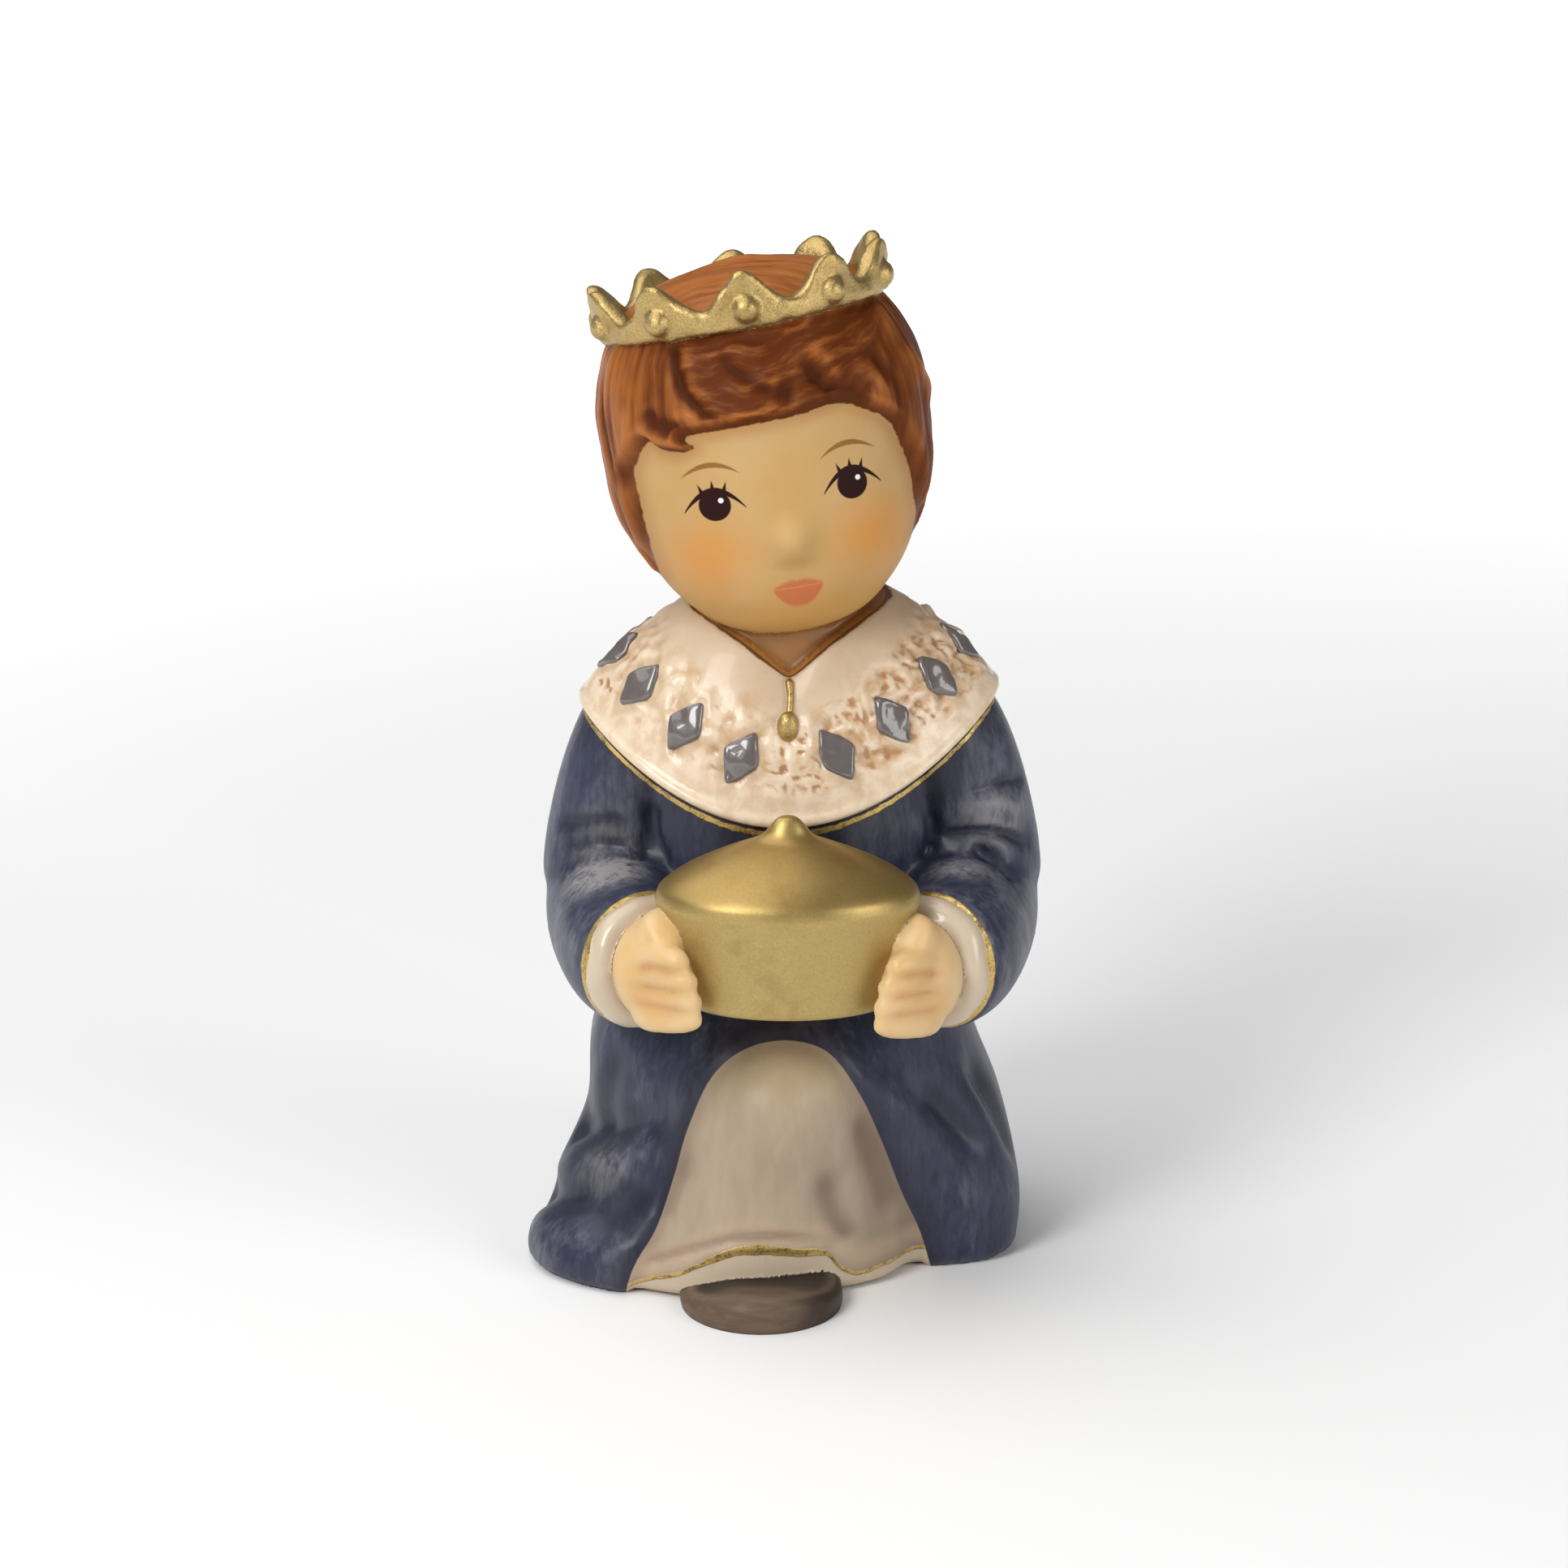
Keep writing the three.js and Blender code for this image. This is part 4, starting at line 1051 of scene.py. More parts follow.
placed(head, HEAD_TURN, HEAD_MIDDLE)
neck = neck_form()
print("neck", faces(neck), "faces")

# %% [markdown]
# The crown is a ring with ten points, cast with the head and standing free of it. A torus gives a closed
# band. Its section is squared and stretched upwards, higher at each point, and the top flares out. Ten
# lumps are sunk halfway into it as studs, and a fine remesh melts them on, as the glaze and the gold do.

# %% The crown
CROWN_MIDDLE = [-3.55, 0.9, 76.4]
CROWN_RADIUS = 10.92
CROWN_THICKNESS = 1.6
CROWN_POINTS = 10
CROWN_VALLEY = 1.85
CROWN_TIP = 4.55
CROWN_FLARE = 1.0
CROWN_FIRST = math.radians(-90 + 2.6)
CROWN_TURN = Matrix.Rotation(math.radians(-7.5), 4, "X") @ Matrix.Rotation(math.radians(-10.7), 4, "Y")
STUD = {"radius": 1.08, "proud": 1.0, "height": 1.6}
CROWN_GRAIN = 0.22
CROWN_SMOOTHING = 2
CROWN_KEEP = 0.6
CROWN_SQUARING = {"up": 0.55, "out": 0.7}
CROWN_DENTS = 0.1
RING_SHARE = 0.25  # half the thickness of the first ring, in shares of its radius


def crown_band():
    """The ring with its points, a little dented as beaten gold is."""
    deselect()
    bpy.ops.mesh.primitive_torus_add(
        major_segments=CROWN_POINTS * 30, minor_segments=26, major_radius=1, minor_radius=RING_SHARE)
    piece = named("crown")
    x, y, z = points_of(piece).T
    turn = np.arctan2(y, x)
    out = (np.hypot(x, y) - 1) / RING_SHARE
    up = z / RING_SHARE
    point = 0.5 + 0.5 * np.cos((turn - CROWN_FIRST) * CROWN_POINTS)
    height = CROWN_VALLEY + (CROWN_TIP - CROWN_VALLEY) * point
    lift = height / 2 * (1 + np.sign(up) * np.abs(up) ** CROWN_SQUARING["up"])
    wide = np.sign(out) * np.abs(out) ** CROWN_SQUARING["out"]
    radius = CROWN_RADIUS + CROWN_THICKNESS / 2 * wide + CROWN_FLARE * (lift / CROWN_TIP) ** 2
    put_points(piece, np.column_stack([radius * np.cos(turn), radius * np.sin(turn), lift]))
    raise_skin(piece, CROWN_DENTS * grain(points_of(piece), 2.0, 4, 2))
    return piece


def crown_stud(turn):
    """A stud below one of the points."""
    reach = CROWN_RADIUS + CROWN_THICKNESS / 2
    at = (reach * math.cos(turn), reach * math.sin(turn), STUD["height"])
    return lump("stud", 28, 16, at, (STUD["proud"], STUD["radius"], STUD["radius"]), turn)


studs = [crown_stud(CROWN_FIRST + 2 * math.pi * i / CROWN_POINTS) for i in range(CROWN_POINTS)]
crown = merge("crown", crown_band(), *studs)
finish_with(crown, "REMESH", mode="VOXEL", voxel_size=CROWN_GRAIN)
finish_with(crown, "SMOOTH", factor=0.5, iterations=CROWN_SMOOTHING)
finish_with(crown, "DECIMATE", ratio=CROWN_KEEP)
placed(crown, CROWN_TURN, CROWN_MIDDLE)
print("crown", faces(crown), "faces")

# %% [markdown]
# The toe of a dark shoe looks out from under the robe. It is a low, round form with a flat sole. An
# icosphere is squashed into it by one rule, and only the faces that show are made finer.

# %% The shoe
SHOE_MIDDLE = [-2.2, -16.6]
SHOE_REACH = [6.8, 7.5, 3.1]
SHOE_WALL = {"steep": 2.2, "square": 0.8}
SOLE_SHARE = 0.94  # the sole's reach in shares of the upper's
SHOE_FALL = {"left": 0.38, "back": 0.26}  # shares of its height that the top loses


def shoe_form(unit):
    """A flat sole and a steep wall that turns over into a nearly level top."""
    level = (1 - (1 - np.maximum(unit[:, 2], 0)) ** SHOE_WALL["steep"]) ** SHOE_WALL["square"]
    wide = SOLE_SHARE + (1 - SOLE_SHARE) * level
    x = SHOE_MIDDLE[0] + SHOE_REACH[0] * wide * unit[:, 0]
    y = SHOE_MIDDLE[1] + SHOE_REACH[1] * wide * unit[:, 1]
    left = 1 - SHOE_FALL["left"] * ease(-x, 3.5, 9)
    back = 1 - SHOE_FALL["back"] * ease(y, -22.8, -17.5)
    height = SHOE_REACH[2] * level * (left * back)
    return np.column_stack([x, y, height]), level


deselect()
bpy.ops.mesh.primitive_ico_sphere_add(subdivisions=5, radius=1)
shoe = named("shoe")
refine(shoe, lambda middles: (middles[:, 1] < 0.3) & (middles[:, 2] > -0.1))
places, shoe_level = shoe_form(directions(shoe))
put_points(shoe, places)
mark(shoe, "level", shoe_level)
settle(shoe)
print("shoe", faces(shoe), "faces")

# %% [markdown]
# The lines between one colour and the next are kept as distances on the skin. They are worked out here,
# while each part is still alone, and the joined skin carries them along.

# %% Distances from the collar, the cuffs and the diamonds
LOOK_DOWN = math.radians(17)


def below_collar(points):
    """How far below the collar's edge a point shows, to an eye that looks down on it a little."""
    turn = np.arccos(np.clip(points[:, 0] / COLLAR_EDGE["reach"], -1, 1))
    edge = collar_place(np.where(points[:, 1] < 0, -turn, turn), 1.0)
    lower = edge[:, 2] - COLLAR_THICKNESS - points[:, 2]
    inward = np.maximum(0, np.abs(edge[:, 1]) - np.abs(points[:, 1]))
    return lower * math.cos(LOOK_DOWN) - inward * math.sin(LOOK_DOWN)


def beyond_cuff(points):
    """How far a point is from the skin of the nearer cuff."""
    turn = math.radians(CUFF_TURN)
    axis = np.array([-math.sin(turn), -math.cos(turn), 0])
    apart = np.column_stack([np.abs(points[:, 0] - HANDS_MIDDLE), points[:, 1], points[:, 2]]) - CUFF_MIDDLE
    along = apart @ axis
    aside = np.linalg.norm(apart - along[:, None] * axis, axis=1)
    return np.hypot(aside - CUFF_RING, along) - CUFF_FAT


def round_diamonds(points):
    """How far a point on the collar is from its nearest diamond, where 1 is the diamond's edge."""
    nearest = np.full(len(points), 9.0)
    for where in diamond_turns():
        at, aside, down, _ = diamond_frame(*where)
        shares = np.abs((points - at) @ np.column_stack([aside, down])) * 2 / DIAMOND_SIZE
        near = np.linalg.norm(points - at, axis=1) < 6
        nearest = np.where(near, np.minimum(nearest, shares.sum(1)), nearest)
    return nearest


# %% Distances from a piece, and a finer skin along the gold lines
def beyond(piece, points, reach=4):
    """How far points are outside a piece, up to a reach; negative inside it."""
    apart = np.full(len(points), float(reach))
    for i, point in enumerate(points):
        found, at, normal, _ = piece.closest_point_on_mesh(Vector(point), distance=reach)
        if found:
            away = Vector(point) - at
            apart[i] = math.copysign(away.length, away.dot(normal))
    return apart


def near_gold(points):
    """The faces along the gold lines, where the skin is made finer so that the lines run smoothly."""
    hem = (np.abs(above_hem(points)) < 0.7) & (points[:, 1] < -9)
    return (np.abs(below_collar(points) - 0.5) < 0.8) | (beyond_cuff(points) < 1) | hem


refine(coat, near_gold)
refine(coat, lambda middles: np.abs(beyond(shoe, middles, 1.2)) < 0.9)
places = points_of(coat)
mark(coat, "beyond_shoe", beyond(shoe, places))
for distance in (beyond_opening, above_hem, below_collar, beyond_cuff):
    mark(coat, distance.__name__, distance(places))
mark(coat, "pooled", pooled(coat, CLOTH_FOLDS))
mark(collar, "round_diamonds", round_diamonds(points_of(collar)))
mark(hands, "beyond_cuff", beyond_cuff(points_of(hands)))
print("coat ready for the brush, with", faces(coat), "faces")

# %% [markdown]
# The mould gives one skin, so the forms are joined with unions. Every face keeps the name of its paint.
# Wet clay is sponged along the seams, and the same is done here: the points at a seam are averaged with
# their neighbours.

# %% One skin
PARTS = {  # the paint, and the parts that take it
    "coat": [coat], "shoe": [shoe], "neck": [neck], "collar": [collar], "cuffs": [cuffs],
    "hands": [hands], "vessel": [vessel], "head": [head], "crown": [crown, cord, drop],
    "diamonds": [diamonds],
}
for name, members in PARTS.items():
    paint = bpy.data.materials.new(name)
    for member in members:
        member.data.materials.clear()
        member.data.materials.append(paint)
figure, *others = [member for members in PARTS.values() for member in members]
for other in others:
    finish_with(
        figure, "BOOLEAN", operation="UNION", solver="MANIFOLD", object=other, material_mode="TRANSFER")
    bpy.data.objects.remove(other)
figure.name = figure.data.name = "glazed_figurine"
print("one skin of", faces(figure), "faces")


# %% Tools for the sponge
def linked(piece):
    """The two points of every edge."""
    links = np.empty(len(piece.data.edges) * 2, np.int32)
    piece.data.edges.foreach_get("vertices", links)
    return links[0::2], links[1::2]


def blurred(values, links, rounds):
    """Values averaged with those of the neighbouring points, for some rounds."""
    a, b = links
    count = len(values)
    many = np.bincount(a, minlength=count) + np.bincount(b, minlength=count)
    for _ in range(rounds):
        near = [np.bincount(a, row[b], count) + np.bincount(b, row[a], count) for row in values.T]
        values = 0.5 * values + 0.5 * np.stack(near, axis=1) / many[:, None]
    return values


def seam_points(piece):
    """1 where a point lies between two paints."""
    mesh = piece.data
    paint = np.empty(len(mesh.polygons), np.int32)
    mesh.polygons.foreach_get("material_index", paint)
    sizes = np.empty(len(mesh.polygons), np.int32)
    mesh.polygons.foreach_get("loop_total", sizes)
    corners = np.empty(len(mesh.loops), np.int32)
    mesh.loops.foreach_get("vertex_index", corners)
    paint = np.repeat(paint, sizes)
    low = np.full(len(mesh.vertices), 99)
    high = np.full(len(mesh.vertices), -1)
    np.minimum.at(low, corners, paint)
    np.maximum.at(high, corners, paint)
    return (low != high).astype(float)

# %% The seams sponged smooth
SEAM_ROUNDS = 3
SEAM_SPREAD = 2.2
links = linked(figure)
near_seam = np.clip(SEAM_SPREAD * blurred(seam_points(figure)[:, None], links, 2), 0, 1)
places = points_of(figure)
for _ in range(SEAM_ROUNDS):
    places += near_seam * (blurred(places, links, 1) - places)
put_points(figure, places)
settle(figure)
print("sponged", int(np.sum(near_seam > 0)), "points along the seams")

# %% [markdown]
# Two more marks come from the finished skin. A point that lies below the average of its neighbours is in a
# hollow: a few rounds of averaging find the pits of the fur, and many rounds find the broad valleys.

# %% Hollows and valleys, and the finished piece
HOLLOWS = {"hollow": 4, "valley": 40}  # rounds of averaging


def hollow(piece, rounds):
    """How deep each point lies below its surroundings: positive in a valley, negative on a ridge."""
    flat = points_of(piece)
    return np.sum((blurred(flat, links, rounds) - flat) * normals_of(piece), axis=1)


for name, rounds in HOLLOWS.items():
    mark(figure, name, hollow(figure, rounds))
only(figure)
figure.scale = (MILLIMETRE, MILLIMETRE, MILLIMETRE)
bpy.ops.object.transform_apply()
bpy.ops.object.shade_smooth()
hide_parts("wise_man_figurine")
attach(figure, "root")
print("the figure measures", np.round(np.ptp(points_of(figure), axis=0) / MILLIMETRE, 1), "mm")

# %% [markdown]
# The paints are written as sums. A wire is a value on its way through a material, and a paint is one
# material with the colours and the glaze laid over it.


# %% Wires
def arithmetic(kind, turned_round=False):
    def method(self, other):
        pair = (other, self) if turned_round else (self, other)
        return self.paint.math(kind, *pair)
    return method


class Wire:
    """A value on its way through a material. Sums of wires add Math nodes."""

    def __init__(self, paint, socket):
        self.paint = paint
        self.socket = socket

    __add__ = __radd__ = arithmetic("ADD")
    __sub__ = arithmetic("SUBTRACT")
    __rsub__ = arithmetic("SUBTRACT", True)
    __mul__ = __rmul__ = arithmetic("MULTIPLY")
    __truediv__ = arithmetic("DIVIDE")
    __pow__ = arithmetic("POWER")
    least = arithmetic("MINIMUM")
    most = arithmetic("MAXIMUM")

    def __abs__(self):
        return self.paint.math("ABSOLUTE", self)

    def root(self):
        return self.paint.math("SQRT", self)

    def ease(self, low, high):
        """0 below low, 1 above high and smooth between."""
        settings = {"interpolation_type": "SMOOTHSTEP"}
        return self.paint.node("MapRange", settings, {"Value": self, "From Min": low, "From Max": high})

    def band(self, low, high, soft):
        """1 between low and high, with soft edges."""
        return self.ease(low - soft, low + soft) * (1 - self.ease(high - soft, high + soft))


# %% Paints
def srgb(red, green, blue):
    """A colour as it is seen, turned into the light it gives back."""
    shares = [value / 255 for value in (red, green, blue)]
    return [s / 12.92 if s < 0.04 else ((s + 0.055) / 1.055) ** 2.4 for s in shares] + [1]


def palette(**colours):
    """The colours of one finish, by name."""
    return {name: srgb(*colour) for name, colour in colours.items()}


class Paint:
    """One material. Its place is the place on the figure in millimetres."""

    def __init__(self, name, **glaze):
        material = bpy.data.materials[name]
        material.use_nodes = True
        self.tree = material.node_tree
        self.shader = self.tree.nodes["Principled BSDF"]
        for socket, value in glaze.items():
            self.shader.inputs[socket.replace("_", " ")].default_value = value
        self.place = self.vector("DIVIDE", self.node("TexCoord", output=3), [MILLIMETRE] * 3)

    def feed(self, socket, value):
        if isinstance(value, Wire):
            self.tree.links.new(value.socket, socket)
        else:
            socket.default_value = value

    def node(self, kind, settings=None, inputs=None, output=0):
        node = self.tree.nodes.new("ShaderNode" + kind)
        for name, value in (settings or {}).items():
            setattr(node, name, value)
        for name, value in (inputs or {}).items():
            self.feed(node.inputs[name], value)
        return Wire(self, node.outputs[output])

    def math(self, kind, *values):
        return self.node("Math", {"operation": kind}, dict(enumerate(values)))

    def vector(self, kind, *values, output=0):
        return self.node("VectorMath", {"operation": kind}, dict(enumerate(values)), output)

    def apart(self):
        """The three numbers of the place."""
        return [self.node("SeparateXYZ", None, {0: self.place}, i) for i in range(3)]

    def together(self, x, y, z):
        return self.node("CombineXYZ", None, {0: x, 1: y, 2: z})

    def mark(self, name):
        return self.node("Attribute", {"attribute_name": name}, output=2)

    def noise(self, fineness, detail=2, rough=0.5, at=None):
        """Soft noise from 0 to 1. The fineness is one number, or one for each way."""
        ways = fineness if isinstance(fineness, tuple) else (fineness, fineness, fineness)
        spot = self.vector("MULTIPLY", at or self.place, ways)
        return self.node("TexNoise", None, {"Vector": spot, "Scale": 1, "Detail": detail, "Roughness": rough})

    def mix(self, share, under, over):
        return self.node("Mix", {"data_type": "RGBA"}, {0: share, 6: under, 7: over}, 2)

    def lay(self, **channels):
        for socket, value in channels.items():
            self.feed(self.shader.inputs[socket.replace("_", " ")], value)

    def bump(self, height, reach):
        """Fine relief; height is in shares of the reach, which is in metres."""
        self.lay(Normal=self.node("Bump", None, {"Strength": 1, "Distance": reach, "Height": height}))

    def tell(self, name):
        print(name, "painted with", len(self.tree.nodes), "nodes")

# %% [markdown]
# The coat's blue is brushed thinly over a paler ground. It runs in streaks down the cloth and is rubbed
# through on the sleeves and the left knee. It takes painted shade in the folds, where paint also gathers,
# under the collar, at the edge of the opening and on the lower right. Noise drawn out along the height gives
# the streaks, and the marks do the rest.

# %% Blue of the coat
BLUE = palette(
    deep=(38, 41, 61), light=(63, 66, 87), worn=(122, 121, 130), rubbed=(143, 140, 141),
    gathered=(30, 32, 46), edge=(28, 29, 44))
WORN_SPOTS = [  # middle and reach of the places where the blue is rubbed through
    [(15.6, -3.0, 36.3), 4.6],
    [(13.4, -8.0, 32.9), 3.4],
    [(-15.0, -6.4, 33.4), 5.4],
    [(-14.2, -9.0, 32.4), 4.2],
    [(-16.3, -10.0, 9.2), 4.6],
]


def rubbed_through(paint):
    """How far the blue is rubbed away at the worn spots, above 1 where two of them overlap."""
    rubbed = 0.0
    for spot, reach in WORN_SPOTS:
        apart = paint.vector("DISTANCE", paint.place, spot, output=1)
        rubbed = 1 - apart.ease(reach * 0.2, reach) + rubbed
    return rubbed


def coat_colour(paint, x, z, dabs):
    hollow, valley, pool_and_shade = paint.mark("hollow"), paint.mark("valley"), paint.mark("pooled")
    streaks = paint.noise((2.0, 2.0, 0.5), 4, 0.6)
    clouds = paint.noise((0.2, 0.2, 0.13), 4, 0.6)
    worn = streaks * 0.5 + dabs * 0.8 + clouds * 1.5 - valley.most(-0.3) * 0.5 - pool_and_shade * 0.12
    # painted shade: the lower right gets less of the pale grey
    worn = worn - x.ease(2, 10) * (1 - z.ease(22, 28)) * 0.28
    colour = paint.mix((streaks * 0.5 + dabs * 0.5).ease(0.3, 0.75), BLUE["deep"], BLUE["light"])
    colour = paint.mix(worn.ease(1.32, 1.95) * 0.5, colour, BLUE["worn"])
    brushed = (streaks * 0.6 + dabs * 0.6 - hollow * 2).ease(0.35, 0.8)
    colour = paint.mix((rubbed_through(paint) * brushed).least(1), colour, BLUE["rubbed"])
    # painted shade in the folds and valleys, where paint also gathers
    gathered = (pool_and_shade * 0.8 + valley + clouds * 0.4 - 0.05).ease(0.2, 0.9)
    colour = paint.mix(gathered * 0.6, colour, BLUE["gathered"])
    # painted shadow below the collar
    near_collar = 1 - paint.mark("below_collar").ease(0.8, 5)
    colour = paint.mix(near_collar * 0.35, colour, BLUE["gathered"])
    # painted shadow along the edge of the opening, stronger on the left
    at_edge = 1 - paint.mark("beyond_opening").ease(0.2, 2.8)
    return paint.mix(at_edge * (0.85 - x.ease(-1, 5) * 0.25), colour, BLUE["edge"])

# %% [markdown]
# The robe is a thin wash over cream. It is yellower on the knee, takes painted shade at the right, in the
# folds, where paint also gathers, and along the coat's edge, and is left cream below the gold line. The
# shoe's paint laps a little over the hem.

# %% Wash of the robe
WASH = palette(
    thin=(164, 146, 124), pale=(176, 158, 136), knee=(182, 160, 118), right=(116, 100, 84),
    folds=(108, 91, 77), edge=(112, 94, 80), glow=(208, 176, 146), hem=(194, 176, 152), shoe=(62, 50, 45))


def robe_colour(paint, x, z, above):
    hollow, valley, pool_and_shade = paint.mark("hollow"), paint.mark("valley"), paint.mark("pooled")
    fibres = paint.noise((0.7, 0.7, 0.22), 4, 0.55)
    colour = paint.mix(fibres.ease(0.3, 0.7) * 0.7, WASH["thin"], WASH["pale"])
    colour = paint.mix(z.ease(16, 19) * 0.4, colour, WASH["knee"])
    # painted shade on the right side of the robe
    colour = paint.mix(x.ease(3, 7.5) * 0.55, colour, WASH["right"])
    # painted shade in the folds and valleys, where paint also gathers
    folds = (pool_and_shade * 0.55 + valley * 0.6 + hollow * 2 + (fibres - 0.5) * 0.25).ease(0.1, 0.9)
    colour = paint.mix(folds * 0.8, colour, WASH["folds"])
    # painted shadow where the coat's edge stands over the robe
    at_edge = 1 - (0 - paint.mark("beyond_opening")).ease(0.1, 1.4)
    colour = paint.mix(at_edge * 0.4, colour, WASH["edge"])
    colour = paint.mix(above.band(0.6, 2.4, 0.7) * 0.3, colour, WASH["glow"])
    colour = paint.mix(1 - above.ease(-0.35, -0.2), colour, WASH["hem"])
    return paint.mix(1 - paint.mark("beyond_shoe").ease(0.0, 0.1), colour, WASH["shoe"])

# %% [markdown]
# Gold lines follow the collar, the cuffs and the hem. A line is a band of a distance: it starts and stops
# at two distances from the edge that it follows. The painter's hand is in a slow wobble of that distance.

# %% Gold lines, and the whole of the coat
LEAF = palette(bright=(208, 178, 108), dull=(122, 95, 47), shadow=(28, 22, 22))
WOBBLE = 0.3


def gold_lines(paint, x, on_robe, above, wobble):
    under_collar = (paint.mark("below_collar") + wobble).band(0.32, 0.76, 0.06)
    at_cuff = (paint.mark("beyond_cuff") + wobble * 0.5).band(-1, 0.38, 0.05)
    middle = 1 - abs(x + 1.8).ease(1.5, 6.5)
    hem = on_robe * above.band(-0.2 - middle * 0.22, 0.14 + middle * 0.26, 0.05)
    return under_collar.most(at_cuff).most(hem)


def paint_coat():
    paint = Paint("coat", Roughness=0.46, Coat_Roughness=0.26, Coat_IOR=1.4, Specular_IOR_Level=0.3)
    x, _, z = paint.apart()
    dabs = paint.noise((0.7, 0.7, 0.28), 4, 0.65)
    above = paint.mark("above_hem") + (paint.noise(0.9) - 0.5) * WOBBLE
    wobble = (paint.noise(1.4) - 0.5) * WOBBLE
    on_coat = paint.mark("beyond_opening").ease(-0.05, 0.05)
    colour = paint.mix(on_coat, robe_colour(paint, x, z, above), coat_colour(paint, x, z, dabs))
    shadow = (paint.mark("below_collar") + wobble).band(-2, 0.3, 0.1)
    colour = paint.mix(shadow * 0.8, colour, LEAF["shadow"])
    gold = gold_lines(paint, x, 1 - on_coat, above, wobble)
    leaf = paint.noise(1.1, 3, 0.6) * 0.6 + paint.noise(6) * 0.5
    colour = paint.mix(gold, colour, paint.mix(leaf.ease(0.34, 0.62), LEAF["dull"], LEAF["bright"]))
    paint.lay(Base_Color=colour, Metallic=gold * 0.8, Coat_Weight=on_coat * 0.12 + 0.12)
    paint.bump(gold * 0.5 + dabs * 0.3, 0.00008)
    paint.tell("coat and robe")


paint_coat()

# %% [markdown]
# The collar is cream glaze with brown wiped over it, which stays in the pits of the fur. So the brown
# follows the hollows, in patches, and leaves the border and the lapels clean. The inner edge at the throat
# takes the darker line and the skin of the neck.

# %% Cream and brown of the collar
CREAM = palette(
    light=(222, 202, 176), deep=(208, 182, 150), lapel=(192, 168, 138), stain=(188, 148, 106),
    pits=(160, 110, 64), halo=(184, 150, 112), line=(100, 62, 28), throat=(164, 112, 54), crease=(92, 56, 24))


def paint_collar():
    paint = Paint("collar", Roughness=0.42, Coat_Roughness=0.08)
    out, hollow = paint.mark("share_out"), paint.mark("hollow")
    patches, spots = paint.noise(0.25, 3), paint.noise(0.8, 3, 0.6)
    colour = paint.mix(spots.ease(0.35, 0.7), CREAM["light"], CREAM["deep"])
    lapel = 1 - out.ease(0.25, 0.55)
    colour = paint.mix(lapel * 0.8, colour, CREAM["lapel"])
    inside = out.ease(0.15, 0.4) * (1 - out.ease(0.86, 0.92))
    right = paint.apart()[0].ease(-2, 10) * 0.22
    stain = (patches * 1.4 + spots * 0.9 + hollow * 5 + right).ease(1.1, 1.65) * inside
    colour = paint.mix(stain * 0.75, colour, CREAM["stain"])
    pits = (hollow * 9 + (patches - 0.5) * 0.8 + right).ease(0.3, 1.0) * inside
    colour = paint.mix(pits * 0.8, colour, CREAM["pits"])
    halo = paint.mark("round_diamonds").band(1.1, 1.6, 0.25)
    colour = paint.mix(halo * 0.5, colour, CREAM["halo"])
    line = (out + (spots - 0.5) * 0.03 + (patches - 0.5) * 0.06).band(-0.04, 0.014, 0.008)
    # the tucked underside of the collar is painted as dark as the line, a painted shade under its edge
    colour = paint.mix(line.most(out.ease(1.5, 1.6)), colour, CREAM["line"])
    throat = paint.mix(out.ease(-0.04, -0.02), CREAM["throat"], CREAM["crease"])
    on_throat = 1 - out.ease(-0.03, -0.015)
    colour = paint.mix(on_throat, colour, throat)
    paint.lay(Base_Color=colour, Coat_Weight=0.36 - on_throat.most(lapel * 0.6) * 0.36)
    paint.tell("collar")


paint_collar()

# %% [markdown]
# The diamonds are grey under thick clear glaze, which the coat of the shader stands for. The cuffs are the
# collar's cream, with painted shade where they sink into the sleeve.

# %% Diamonds and cuffs
GREY = palette(dark=(86, 79, 77), light=(106, 98, 94))
CUFF_CREAM = palette(clean=(198, 180, 156), shade=(158, 130, 100))


def paint_diamonds():
    paint = Paint("diamonds", Roughness=0.3, Coat_Weight=1, Coat_Roughness=0.04)
    paint.lay(Base_Color=paint.mix(paint.noise(0.8), GREY["dark"], GREY["light"]))
    paint.tell("diamonds")


def paint_cuffs():
    paint = Paint("cuffs", Roughness=0.4, Coat_Weight=0.6, Coat_Roughness=0.1)
    shade = (paint.mark("valley") + paint.mark("hollow") * 2).ease(0.1, 0.8)
    paint.lay(Base_Color=paint.mix(shade * 0.6, CUFF_CREAM["clean"], CUFF_CREAM["shade"]))
    paint.tell("cuffs")


paint_diamonds()
paint_cuffs()

# %% [markdown]
# The skin of hands and neck is sprayed on thinly, with painted shade in a warmer tone in the grooves between
# the fingers and under the chin.

# %% Skin of the hands and the neck
HANDS = palette(light=(215, 185, 137), shade=(194, 144, 84), blush=(214, 174, 116))
NECK = palette(light=(162, 112, 54), shade=(134, 88, 38), blush=(154, 104, 46))
CUFF_LINE = srgb(150, 112, 58)


def paint_skin(name, tones):
    paint = Paint(name, Roughness=0.45, Coat_Weight=0.15, Coat_Roughness=0.3)
    colour = paint.mix(paint.noise(0.3).ease(0.3, 0.7), tones["light"], tones["blush"])
    shade = (paint.mark("valley") * 1.2 + paint.mark("hollow") * 3).ease(0.02, 1.0)
    # painted shade in the grooves and hollows, in a warmer tone
    gathered = (shade + paint.mark("pooled") * 0.85).least(1)
    colour = paint.mix(gathered, colour, tones["shade"])
    if name == "hands":
        colour = paint.mix(1 - paint.mark("beyond_cuff").ease(0.12, 0.2), colour, CUFF_LINE)
    paint.lay(Base_Color=colour)
    paint.tell(name)


paint_skin("hands", HANDS)
paint_skin("neck", NECK)

# %% [markdown]
# Gold paint is fine metal powder in varnish, so it is satin, a little speckled and only partly metallic.
# The crown is grainier, and brown and painted shade sit in its dents. The vessel's lid is browner than its
# wall, and shines more.

